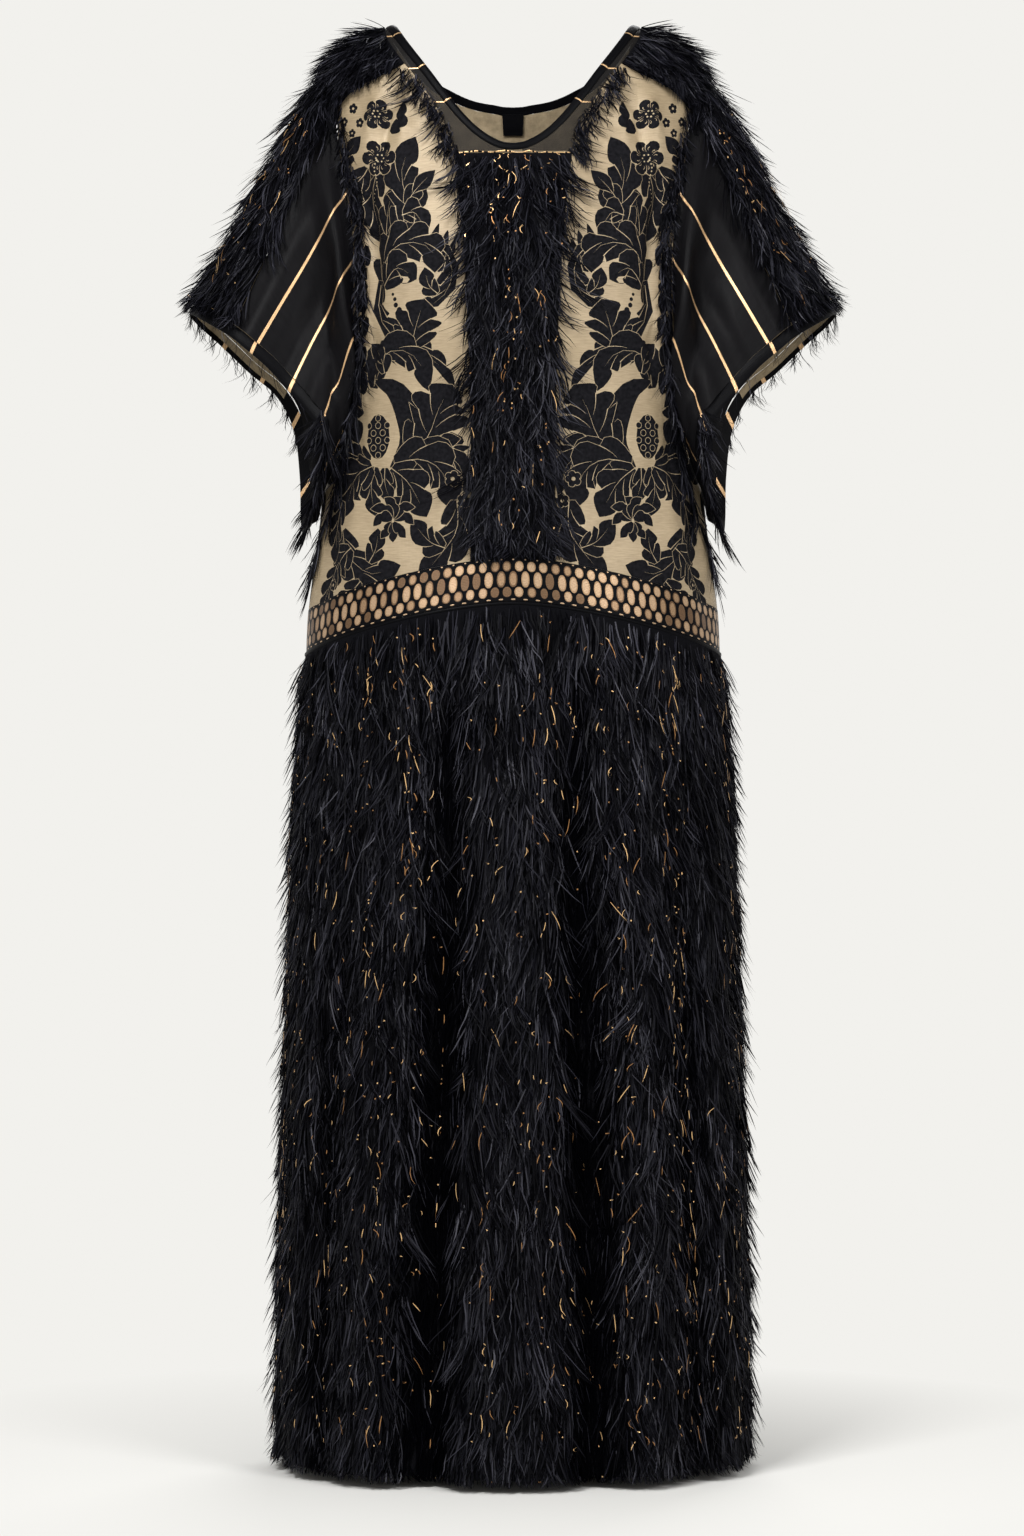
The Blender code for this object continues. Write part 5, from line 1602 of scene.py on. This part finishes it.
def band_figures(total, random):
    """The rings of the band's pattern: ovals with darker rims, each oval in a lit, mid or shaded copy of the
    gold as painted sheen and painted shade, and gold dashes and dots along its edges.
    """
    figures = []
    for row in OVAL_ROWS:
        for k in range(int(total / OVAL_PITCH) + 1):
            x = (k + row.shift) * OVAL_PITCH + 0.0002 * random.normal()
            half_width = OVAL_HALF_WIDTH * (1 + 0.05 * random.normal())
            # Each oval's copy of the gold, picked at random: the lit one a painted sheen, the dark one a
            # painted shade. Its rim, a woven outline, takes the next darker copy.
            shade = 1 + random.choice(3, p=(0.50, 0.34, 0.16))
            inner_height = row.half_height * (OVAL_RIM + 0.06)
            figures.append((oval(x, row.below, half_width, row.half_height), min(3, shade + 1)))
            figures.append((oval(x, row.below, half_width * OVAL_RIM, inner_height), shade))
    for k in range(int(total / OVAL_PITCH) + 1):
        x = (k + 0.5) * OVAL_PITCH
        figures.append((oval(x, DASH_BELOW, DASH_HALF_WIDTH, DASH_HALF_HEIGHT), 1))
        figures.append((oval(x, DOT_BELOW, DOT_HALF_WIDTH, DASH_HALF_HEIGHT), 1))
    return figures


def hip_bands():
    for front, name in ((True, "front"), (False, "back")):
        random = np.random.default_rng(11 + front)
        angles = np.linspace(-90, 90, 721)
        points = body(angles, band_line(front, BAND_HEIGHT / 2, angles)[:, 1])
        ways = np.concatenate([[0], np.cumsum(np.linalg.norm(np.diff(points, axis=0), axis=1))])
        total = ways[-1]
        surface = body_on(1)

        def lift(places):
            angle = np.interp(places[:, 0], ways, angles)
            at = spots(angle, over_at(angle, band_top(angle, front) + places[:, 1], front))
            return surface.points(at), surface.normals(at)

        columns = np.linspace(0.0002, total - 0.0002, 60)
        low = -BAND_HEIGHT + SEAM / 2
        ends = [spots(columns[-1:], low / 2), spots(columns[:1], low / 2)]
        outline = np.concatenate([spots(columns, -SEAM / 2), ends[0], spots(columns[::-1], low), ends[1]])
        room = ((0.0006, low + 0.0003), (total - 0.0006, -SEAM))
        figures = [(np.clip(ring, *room), number) for ring, number in band_figures(total, random)]
        made, area, size = woven(
            f"jacquard_band_{name}", lift, drawn(outline, figures, 0.006), 0.0, 1.5 * MM,
            ["trim", "oval_gold_lit", "oval_mid", "oval_gold_shaded"], [f"hip_band_{name}"],
        )
        cut(made, area, size, ["skirt_front", "skirt_back"], "stretched")
        band_cord(front, name)


def band_cord(front, name):
    """The narrow black piping between the band and the skirt's pile."""
    angles = np.linspace(-89.9, 89.9, 120)
    lines = 5
    belows = np.linspace(BAND_HEIGHT + 0.2 * MM, BAND_HEIGHT + 4.4 * MM, lines)
    grid = np.array([band_line(front, below, angles) for below in belows])
    height = 1.0 * MM + rolled_height(lines, 2.2 * MM)
    shell(f"band_cord_{name}", body_on(1), grid, 0.2 * MM, height, ["trim"])


# Where the sleeves' pinstripes start at the armhole and end at the hem, in rows of the sleeve
Stripe = namedtuple("Stripe", "start end")
SLEEVE_STRIPES = (
    Stripe(4.15, 3.35),
    Stripe(5.45, 5.15),
    Stripe(7.0, 6.75),
    Stripe(8.5, 8.35),
    Stripe(11.4, 11.6),
    Stripe(12.7, 13.1),
    Stripe(13.9, 14.5),
    Stripe(15.2, 15.8),
)
ROW_METRES, ALONG_METRES = 0.035, 0.20  # the sleeve's drawing: what a row and its length measure there
STRIPE = 3.2 * MM

# Creases of the sleeves: the row at the armhole and at the hem, the share of the way along where one starts,
# its spread in rows, and how far it stands out in metres (or in, if negative)
SleeveCrease = namedtuple("SleeveCrease", "row row_at_hem start spread out")
SLEEVE_CREASES = (
    SleeveCrease(4.9, 4.6, 0.10, 0.35, -0.0040),
    SleeveCrease(5.9, 6.2, 0.05, 0.40, 0.0040),
    SleeveCrease(3.3, 2.9, 0.15, 0.40, 0.0030),
    SleeveCrease(6.8, 6.9, 0.20, 0.30, -0.0036),
    SleeveCrease(8.1, 8.0, 0.10, 0.45, 0.0030),
    SleeveCrease(12.4, 12.6, 0.10, 0.40, -0.0036),
    SleeveCrease(13.3, 13.6, 0.10, 0.45, 0.0036),
    SleeveCrease(14.6, 15.0, 0.15, 0.40, -0.0030),
)


def sleeve_height(places):
    row, along = places[:, 0] / ROW_METRES, places[:, 1] / ALONG_METRES
    total = np.zeros(len(places))
    for crease in SLEEVE_CREASES:
        centre = crease.row + (crease.row_at_hem - crease.row) * along
        reached = ramp(along, crease.start, crease.start + 0.3)
        total += crease.out * bell(row - centre, crease.spread) * reached
    return total * ramp(along, 0.0, 0.15)


def straight_row(stripe, along):
    """The rows of a pinstripe that looks nearly straight from the front, at shares of the way along."""
    start, end = sleeve(np.array([stripe.start, stripe.end]), np.array([0.0, 1.0]))[:, [0, 2]]
    eased = stripe.start + (stripe.end - stripe.start) * along
    rows = eased + np.linspace(-0.9, 0.9, 361)[:, None]
    seen = sleeve(rows, np.broadcast_to(along, rows.shape))[..., [0, 2]] - start
    way = end - start
    off = abs(seen[..., 0] * way[1] - seen[..., 1] * way[0])
    found = rows[off.argmin(0), np.arange(len(along))]
    padded = np.pad(found, 2, mode="reflect", reflect_type="odd")
    return np.convolve(padded, (0.1, 0.2, 0.4, 0.2, 0.1), mode="valid")


def stripe_ring(stripe, low=-0.02, high=1.05):
    """A pinstripe's ring on the sleeve's drawing, with its width true on the sleeve."""
    along = np.linspace(low, high, 40)
    row = straight_row(stripe, along)
    wide = np.linalg.norm(sleeve(row + 0.1, along) - sleeve(row - 0.1, along), axis=1) / 0.2
    half = STRIPE / 2 / wide
    left, right = spots(row - half, along), spots(row + half, along)
    return np.concatenate([left, right[::-1]]) * (ROW_METRES, ALONG_METRES)


LAST_BLACK_ROW = 13.7  # of the sleeve's inside, which is tan from there to the top of the back


def tan_behind(places):
    """The sleeve's inner side: tan at the back, and black in front and under the arm."""
    return np.where(places[:, 0] / ROW_METRES > LAST_BLACK_ROW, 2, 0)


def sleeves():
    stripes = [(stripe_ring(stripe), 1) for stripe in SLEEVE_STRIPES]
    for part, first, last in (("front", TOP_FRONT_ROW, UNDERARM_ROW), ("back", UNDERARM_ROW, TOP_BACK_ROW)):
        rows = np.linspace(first + 0.01, last - 0.01, (last - first) * 4 + 1)
        top = spots(rows, 0.5 * MM / ALONG_METRES)
        foot = spots(rows, 1 - sleeve_share(rows, CUFF + SEAM / 2))
        share = np.linspace(0, 1, 9)[1:-1, None]
        end = top[-1] * (1 - share) + foot[-1] * share
        start = foot[0] * (1 - share) + top[0] * share
        outline = np.concatenate([top, end, foot[::-1], start]) * (ROW_METRES, ALONG_METRES)
        pattern = drawn(outline, stripes, 0.008)
        for side, name in SIDES:
            surface = sleeve_on(side)

            def lift(places):
                at = places / (ROW_METRES, ALONG_METRES)
                return surface.points(at), surface.normals(at)

            made, area, size = woven(
                f"satin_sleeve_{part}_{name}", lift, pattern, -1.2 * MM, -0.2 * MM,
                ["satin", "pinstripe", "wrong"], [f"sleeve_{part}_{name}"],
                inside=tan_behind, height=sleeve_height,
            )
            cut(made, area, size, [f"shoulder_{name}", f"sleeve_top_{name}"])
    for side, name in SIDES:
        cuff(side, name)


CUFF_INSIDE = 3  # how many of the binding's five strips of faces show tan inside, from its upper edge


def cuff(side, name):
    surface = sleeve_on(side)
    rows = np.linspace(0, ROWS, ROWS * 8, endpoint=False)
    lines = 6
    widths = np.linspace(CUFF - SEAM / 2, 0.0, lines)
    grid = np.array([spots(rows, 1 - sleeve_share(rows, width)) for width in widths])
    columns = len(rows)
    gold = np.zeros((lines - 1, columns), int)
    for stripe in SLEEVE_STRIPES:
        gold[:, int(stripe.end / ROWS * columns)] = 1
    inner = gold.copy()
    inner[:CUFF_INSIDE, (rows[:, None] > LAST_BLACK_ROW).ravel()] = 2
    height = -CLOTH + rolled_height(lines, BINDING)
    made, area, _ = shell(
        f"hem_binding_{name}", surface, grid, -CLOTH, height, ["trim", "pinstripe", "wrong"],
        [f"sleeve_binding_{name}"], closed=True, numbers=np.concatenate([gold.ravel(), inner.ravel()]),
    )
    around_it = np.linalg.norm(np.diff(surface.points(grid[-1]), axis=0), axis=1).sum()


# ---- Pile -----------------------------------------------------------------------------------------

BACKING = 2.4 * MM
SKIRT_DENSITY, PLACKET_DENSITY, SLEEVE_DENSITY = 7.3, 11.0, 10.5
HEM_TIPS = -LENGTH + 0.001
STRAYS_PAST = 0.0175  # how far strays may stand out past the solids, in front and behind


def skirt_grid(front, first, last, columns, lines=44):
    angles = np.linspace(first, last, columns)
    top = band_top(angles, front) - BAND_HEIGHT - 3 * MM
    foot = -LENGTH + HEM_CLEAR
    down = np.linspace(0, 1, lines)[:, None]
    return spots(angles[None] + 0 * down, over_at(angles[None], top + (foot - top) * down, front))


def above_floor(at, roots):
    return roots[:, 2] - HEM_TIPS


# Strands in folds this deep get the painted shade of the folds in full.
GROOVE = 0.018  # the depth of the skirt's folds from which they look black
SKIRT_PARTS = ((-90, -42), (-42, 0), (0, 42), (42, 90))  # the skirt's piles, by their first and last angle


def fold_shade_and_press(at, roots):
    """How dark the skirt's folds are painted, as shade, where strands stand, from 0 to 1: deep ones from the
    band down.
    The same share presses those strands flatter.
    """
    front, z = at[:, 1] >= 0, roots[:, 2]
    black = fold_depth(front, at[:, 0], z) / GROOVE
    for fold in FOLDS:
        if fold.depth > GROOVE:
            shown = (front == fold.front) * ramp(-z, 0.60, 0.70)
            black = np.maximum(black, shown * bell(at[:, 0] - fold_line(fold, z), 0.8 * fold.spread))
    return np.clip(black, 0, 0.96)


def skirts():
    surface = body_on(1)
    for front, name in ((True, "front"), (False, "back")):
        grid = skirt_grid(front, -89.9, 89.9, 121)
        made, area, size = shell(
            f"skirt_cloth_{name}", surface, grid, 0.0, BACKING, ["backing"], [f"skirt_{name}"]
        )
        cut(made, area, size, [f"jacquard_band_{name}"])
        for number, (first, last) in enumerate(SKIRT_PARTS):
            roots = skirt_grid(front, first, last, 50, 120)
            pile(
                f"skirt_pile_{name}_{number}", surface, roots, SKIRT_DENSITY, SKIRT_COAT,
                100 + 10 * front + number, room_at=above_floor, deep_at=fold_shade_and_press,
            )


def placket_grid(columns=15, lines=60):
    edge = placket_line()
    rows = []
    for down in np.linspace(0, 1, lines):
        end = spline(edge, np.float64(down * (len(edge) - 1)))
        angle = end[0] * np.linspace(-1, 1, columns) * 0.985
        rise = (band_top(angle, True) - band_top(end[0], True)) * ramp(down, 0.5, 1.0)
        rows.append(spots(angle, over_at(angle, body(*end)[2] + rise, True)))
    return np.array(rows)


def above_band(at, roots):
    """How far strands may fall before they reach the band."""
    return roots[:, 2] - band_top(at[:, 0], True) + 0.002


def spread_out(at):
    """The placket's strands lean away from the centre line, more towards its edges."""
    return (at[:, :1] / PLACKET_HALF_ANGLE * 0.34) * (1, 0, 0)


def placket():
    grid = placket_grid()
    made, area, size = shell(
        "placket_cloth", body_on(1), grid, 0.0, BACKING, ["backing"], ["front_placket"]
    )
    cut(made, area, size, ["damask_front_left", "damask_front_right"])
    pile("placket_pile", body_on(1), grid, PLACKET_DENSITY, PLACKET_COAT, 31, spread_out, above_band)


def shoulders_and_sleeve_tops():
    outline = around(
        yoke_top_line(),
        neck_between(NECK_RIDGE_ROW, NECK_BACK_ROW),
        shoulder_back_line(),
        armhole_line(TOP_BACK_ROW, ROWS),
        armhole_line(0, TOP_FRONT_ROW),
        shoulder_front_line()[::-1],
    ) * (DEGREE, 1)
    pattern = drawn(outline, [], 0.009)
    for side, name in SIDES:
        surface = body_on(side)

        def lift(places):
            at = places / (DEGREE, 1)
            return surface.points(at), surface.normals(at)

        made, area, size = woven(
            f"shoulder_cloth_{name}", lift, pattern, 0.0, BACKING, ["backing"], [f"shoulder_{name}"]
        )
        cut(made, area, size, ["neck_edge"])
        shoulder_pile(f"shoulder_pile_{name}", side, outline, 40 + side)
        rows = np.linspace(TOP_BACK_ROW, ROWS + TOP_FRONT_ROW, 33)
        shares = np.linspace(0.0, 1.0, 40)[:, None]
        foot = 1 - sleeve_share(rows, CUFF)
        grid = spots(rows[None] + 0 * shares, 0.004 + (foot[None] - 0.004) * shares)
        on_sleeve = sleeve_on(side)
        made, area, size = shell(
            f"sleeve_top_cloth_{name}", on_sleeve, grid, 0.0, BACKING, ["backing"],
            [f"sleeve_top_{name}"],
        )
        cut(made, area, size, [f"shoulder_cloth_{name}"])
        comb = np.array([side * 0.10, 0, 0])
        pile(f"sleeve_pile_{name}", on_sleeve, grid, SLEEVE_DENSITY, SLEEVE_COAT, 60 + side, comb, above_hem)


def above_hem(at, roots):
    """How far strands may fall before they pass the sleeve's hem."""
    start, end = sleeve_ends(at[:, 0])
    return (1 - at[:, 1]) * np.linalg.norm(end - start, axis=1) + 0.001


def above_panels(at):
    """How far the shoulder's strands may fall before they cover the bodice."""
    front, back = shoulder_front_line(), shoulder_back_line()
    room_front = np.interp(at[:, 0], front[:, 0], front[:, 1], left=0.5, right=0.5) - at[:, 1]
    room_back = at[:, 1] - np.interp(at[:, 0], back[:, 0], back[:, 1], left=-0.5, right=-0.5)
    return np.where(at[:, 1] > 0, room_front, room_back) + 0.007


SHOULDER_ROOTS = 5200  # the strands drawn over the box round a shoulder, of which those on it are kept


def shoulder_pile(name, side, outline, seed):
    """Strands over the shoulder, combed out from the neck and down."""
    random = np.random.default_rng(seed)
    surface = body_on(side)
    low, high = outline.min(0), outline.max(0)
    places = low + random.random((SHOULDER_ROOTS, 2)) * (high - low)
    places = places[within(outline, places)]
    at = places / (DEGREE, 1)
    roots, normals = surface.points(at), surface.normals(at)
    comb = np.array([side * 0.34, 0, 0])
    paths, across, widths, lock = grown(roots, normals, SLEEVE_COAT, random, comb, above_panels(at))
    ribbons(name, paths, across, widths, STRAND_SLOTS, shades(lock, random))


def strip_grid(line, width, each=6):
    """A grid of spots in a strip along a line of spots on the body, inwards from it."""
    line = stations(line, each)
    return np.array([line + (share * width / DEGREE, 0) for share in np.linspace(-0.5, 0.5, 4)])


Low = namedtuple("Low", "angle z")
SIDE_TRIM = (Low(58.0, -0.435), Low(66.0, -0.480), Low(76.0, -0.514), Low(81.0, -0.556))
# A strip of pile: its kind, the line that it follows, its width, its strands for each square cm, their coat,
# the way they are combed, and the node that it stands for
Strip = namedtuple("Strip", "kind line width density coat comb node")
UNDERARM_DENSITY = 34


def trims():
    """The strips of pile beside the armholes and along the yoke, and what hangs from the sleeves' hems."""
    inward = np.array([-ARM_TRIM * 0.62 / DEGREE, 0])
    arm = armhole_line(2, 8) + inward
    low = np.array([[row.angle, over_at(np.float64(row.angle), row.z, True)] for row in SIDE_TRIM])
    side_strip = np.concatenate([arm[-3:], low])
    yoke = seam(YOKE_SEAM) + (0.2, 0.004)
    underarm = spots(np.linspace(6.6, 9.9, 24)[None], np.linspace(0.82, 0.99, 8)[:, None])
    for side, name in SIDES:
        surface = body_on(side)
        inner, outer = np.array([-side * 0.10, 0, 0]), np.array([side * 0.22, 0, 0])
        strips = (
            Strip("armhole_strands", arm, 0.017, 17, TRIM_COAT, inner, "armhole_fringe"),
            Strip("side_strands", side_strip, 0.018, 17, SIDE_COAT, outer, "armhole_fringe"),
            Strip("yoke_strands", yoke, 0.013, 19, TRIM_COAT, outer, "yoke_fringe"),
        )
        for number, strip in enumerate(strips):
            grid = strip_grid(strip.line, strip.width)
            made = pile(
                f"{strip.kind}_{name}", surface, grid, strip.density, strip.coat, 70 + 5 * number + side,
                strip.comb, base=2.6 * MM,
            )
            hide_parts(f"{strip.node}_{name}")
        away = np.array([side * 0.42, 0, 0])
        pile(
            f"underarm_strands_{name}", sleeve_on(side), underarm, UNDERARM_DENSITY, SIDE_COAT, 95 + side,
            away, base=0.6 * MM,
        )
        hem_threads(side, name)


# The frayed threads of a sleeve's hem: the rows of the sleeve that they hang from, and how many they are
Threads = namedtuple("Threads", "first last count")
HEM_THREADS = (Threads(-5.4, -0.1, 190), Threads(6.3, 9.8, 90), Threads(0, 6.3, 36))


def hem_threads(side, name):
    """Thin frayed threads that hang from the sleeve's hem in locks."""
    random = np.random.default_rng(90 + side)
    surface = sleeve_on(side)
    rows = np.concatenate([random.uniform(*stretch) for stretch in HEM_THREADS])
    count = len(rows)
    rows = rows + 0.14 * np.sin(rows * 9.0)
    at = spots(rows, 1.0 - random.uniform(0.0, 0.01, count))
    roots = surface.out(at, -0.6 * MM)
    normals = unit(surface.normals(at) * (1, 1, 0))
    paths, across, widths, lock = grown(roots, normals, THREAD_COAT, random, base=0.0)
    numbers = shades(lock, random)
    made = ribbons(f"hem_threads_{name}", paths, across, widths, STRAND_SLOTS, numbers)
    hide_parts(f"sleeve_fringe_{name}")


# ---- Gold flecks in the pile ----------------------------------------------------------------------


# How long flecks are in metres, and how many have each length
FLECK_LENGTHS, FLECK_SHARES = (0.0016, 0.0045, 0.009, 0.018), (0.46, 0.22, 0.20, 0.12)


def flecks(name, surface, grid, chains, reach, seed, per_metre):
    """Short stretches of gold thread that show along wavy lines down the pile."""
    random = np.random.default_rng(seed)
    points, normals = surface.points(grid), surface.normals(grid)
    lines, columns = points.shape[:2]
    fall = np.linalg.norm(np.diff(points[:, columns // 2], axis=0), axis=1).sum()
    paths, acrosses, widths = [], [], []

    def at(values, line, column):
        i, k = min(int(line), lines - 2), min(int(column), columns - 2)
        u, v = line - i, column - k
        near = values[i, k] * (1 - v) + values[i, k + 1] * v
        return near * (1 - u) + (values[i + 1, k] * (1 - v) + values[i + 1, k + 1] * v) * u

    step = (lines - 1) / fall
    wide = np.linalg.norm(np.diff(points[lines // 2], axis=0), axis=1).sum() / (columns - 1)
    for _ in range(chains):
        column, down = random.uniform(0.8, columns - 1.8), 0.010 + random.exponential(0.03)
        heading = 0.0
        while down < fall - 0.03:
            if random.random() < 0.10:
                down += random.uniform(0.03, 0.11)
            long = random.choice(FLECK_LENGTHS, p=FLECK_SHARES)
            shares = np.linspace(0, 1, 4)
            heading = 0.6 * heading + 0.22 * random.normal()
            lift = reach * random.uniform(0.80, 1.08)
            bend = 0.0012 * random.normal()
            path = []
            for share in shares:
                line = (down + long * share) * step
                across = column + (heading * long * share + bend * math.sin(3.1 * share)) / wide
                place = np.clip(line, 0, lines - 1.01), np.clip(across, 0, columns - 1.01)
                path.append(at(points, *place) + unit(at(normals, *place)) * lift)
            paths.append(path)
            normal = unit(at(normals, min(down * step, lines - 1.01), column))
            way = unit(path[-1] - path[0])
            acrosses.append(np.repeat(unit(np.cross(way, normal))[None], 4, axis=0))
            fat = random.uniform(1.0, 1.5) if long < 0.003 else random.uniform(0.55, 0.85)
            widths.append(np.array([0.7, 1.0, 1.0, 0.6]) * fat * MM)
            down += long + random.exponential(1 / per_metre)
            column = np.clip(column + 0.004 * random.normal() / wide, 0.2, columns - 1.2)
    paths, acrosses, widths = np.array(paths), np.array(acrosses), np.array(widths)
    dim = (random.random(len(paths)) < 0.45).astype(int)
    return ribbons(name, paths, acrosses, widths, ["gold", "gold_dim"], dim)


def all_flecks():
    surface = body_on(1)
    flecks("flecks_skirt_front", surface, skirt_grid(True, -88, 88, 90), 66, PILE, 201, 32)
    flecks("flecks_skirt_back", surface, skirt_grid(False, -88, 88, 90), 60, PILE, 202, 32)
    flecks("flecks_placket", surface, placket_grid(), 15, PLACKET_PILE * 1.05, 203, 30)
    rows = np.linspace(TOP_BACK_ROW + 0.3, ROWS + TOP_FRONT_ROW - 0.3, 24)
    for side, name in SIDES:
        grid = spots(rows[None], np.linspace(0.14, 0.95, 30)[:, None])
        flecks(f"flecks_sleeve_{name}", sleeve_on(side), grid, 22, SHOULDER_PILE * 1.15, 204 + side, 30)


# ---- Stage ----------------------------------------------------------------------------------------

BACKGROUND = (0.887, 0.878, 0.846)
FLOOR_Z = -LENGTH - 0.0045
FLOOR = (0.695, 0.690, 0.669)
OVERHEAD = 0.30  # the light from high above, as a share of the background's
FADE_START, FADE_END = 0.24, 0.80  # where the floor starts and ends to fade, in metres from the middle

Lamp = namedtuple("Lamp", "name place size power")
LAMPS = (
    Lamp("key", (-1.3, -2.6, 1.9), (1.2, 1.2), 150),
    Lamp("fill", (1.9, -2.6, 1.0), (1.2, 1.4), 65),
    Lamp("rim", (0.6, 2.6, 1.8), (2.0, 1.2), 60),
)
LAMPS_AIM = (0, 0, -0.6)
EYE, LENS = (-0.001, -4.5, -0.741), 105.5


def floor():
    """A pale floor that fades into the background away from the garment."""
    bpy.ops.mesh.primitive_circle_add(vertices=96, radius=30, fill_type="NGON", location=(0, 0, FLOOR_Z))
    made = bpy.context.object
    made.name = "floor"
    finish = Finish("studio_floor", FLOOR, 0.9, specular=0.0)
    place = finish.node("ShaderNodeNewGeometry").outputs["Position"]
    flat = finish.node("ShaderNodeVectorMath", {0: place, 1: (1, 1, 0)}, operation="MULTIPLY").outputs[0]
    away = finish.node("ShaderNodeVectorMath", {0: flat}, operation="LENGTH").outputs["Value"]
    inputs = {"Value": away, "From Min": FADE_START, "From Max": FADE_END}
    fade = finish.node("ShaderNodeMapRange", inputs).outputs[0]
    glow = finish.node("ShaderNodeEmission", {"Color": (*BACKGROUND, 1), "Strength": 1.0}).outputs[0]
    inputs = {0: fade, 1: finish.shader.outputs[0], 2: glow}
    mix = finish.node("ShaderNodeMixShader", inputs).outputs[0]
    finish.links.new(mix, finish.nodes["Material Output"].inputs["Surface"])
    made.data.materials.append(finish.made)


def lamp(row):
    data = bpy.data.lights.new(row.name, "AREA")
    data.shape = "RECTANGLE"
    data.size, data.size_y = row.size
    data.energy = row.power
    made = bpy.data.objects.new(row.name, data)
    made.location = row.place
    made.rotation_euler = (Vector(LAMPS_AIM) - Vector(row.place)).to_track_quat("-Z", "Y").to_euler()
    bpy.context.scene.collection.objects.link(made)


def studio():
    world = bpy.data.worlds.new("studio")
    world.use_nodes = True
    nodes, links = world.node_tree.nodes, world.node_tree.links
    nodes["Background"].inputs["Color"].default_value = (*BACKGROUND, 1)
    place, split = nodes.new("ShaderNodeTexCoord"), nodes.new("ShaderNodeSeparateXYZ")
    links.new(place.outputs["Generated"], split.inputs[0])
    height = nodes.new("ShaderNodeMapRange")
    settings = {"From Min": 0.22, "From Max": 0.50, "To Min": 1.0, "To Max": OVERHEAD}
    for name, value in settings.items():
        height.inputs[name].default_value = value
    links.new(split.outputs["Z"], height.inputs["Value"])
    links.new(height.outputs[0], nodes["Background"].inputs["Strength"])
    bpy.context.scene.world = world
    for row in LAMPS:
        lamp(row)
    bpy.context.scene.view_settings.view_transform = "Standard"
    bpy.context.scene.view_settings.look = "None"


def camera():
    data = bpy.data.cameras.new("camera")
    data.lens, data.sensor_width = LENS, 36.0
    made = bpy.data.objects.new("camera", data)
    made.location = EYE
    made.rotation_euler = (QUARTER, 0, 0)
    bpy.context.scene.collection.objects.link(made)
    bpy.context.scene.camera = made


# ---- All of it ------------------------------------------------------------------------------------

camera()
studio()
floor()
bodice()
yokes()
neck_edge()
label()
gold_cord()
hip_bands()
sleeves()
skirts()
placket()
shoulders_and_sleeve_tops()
trims()
all_flecks()
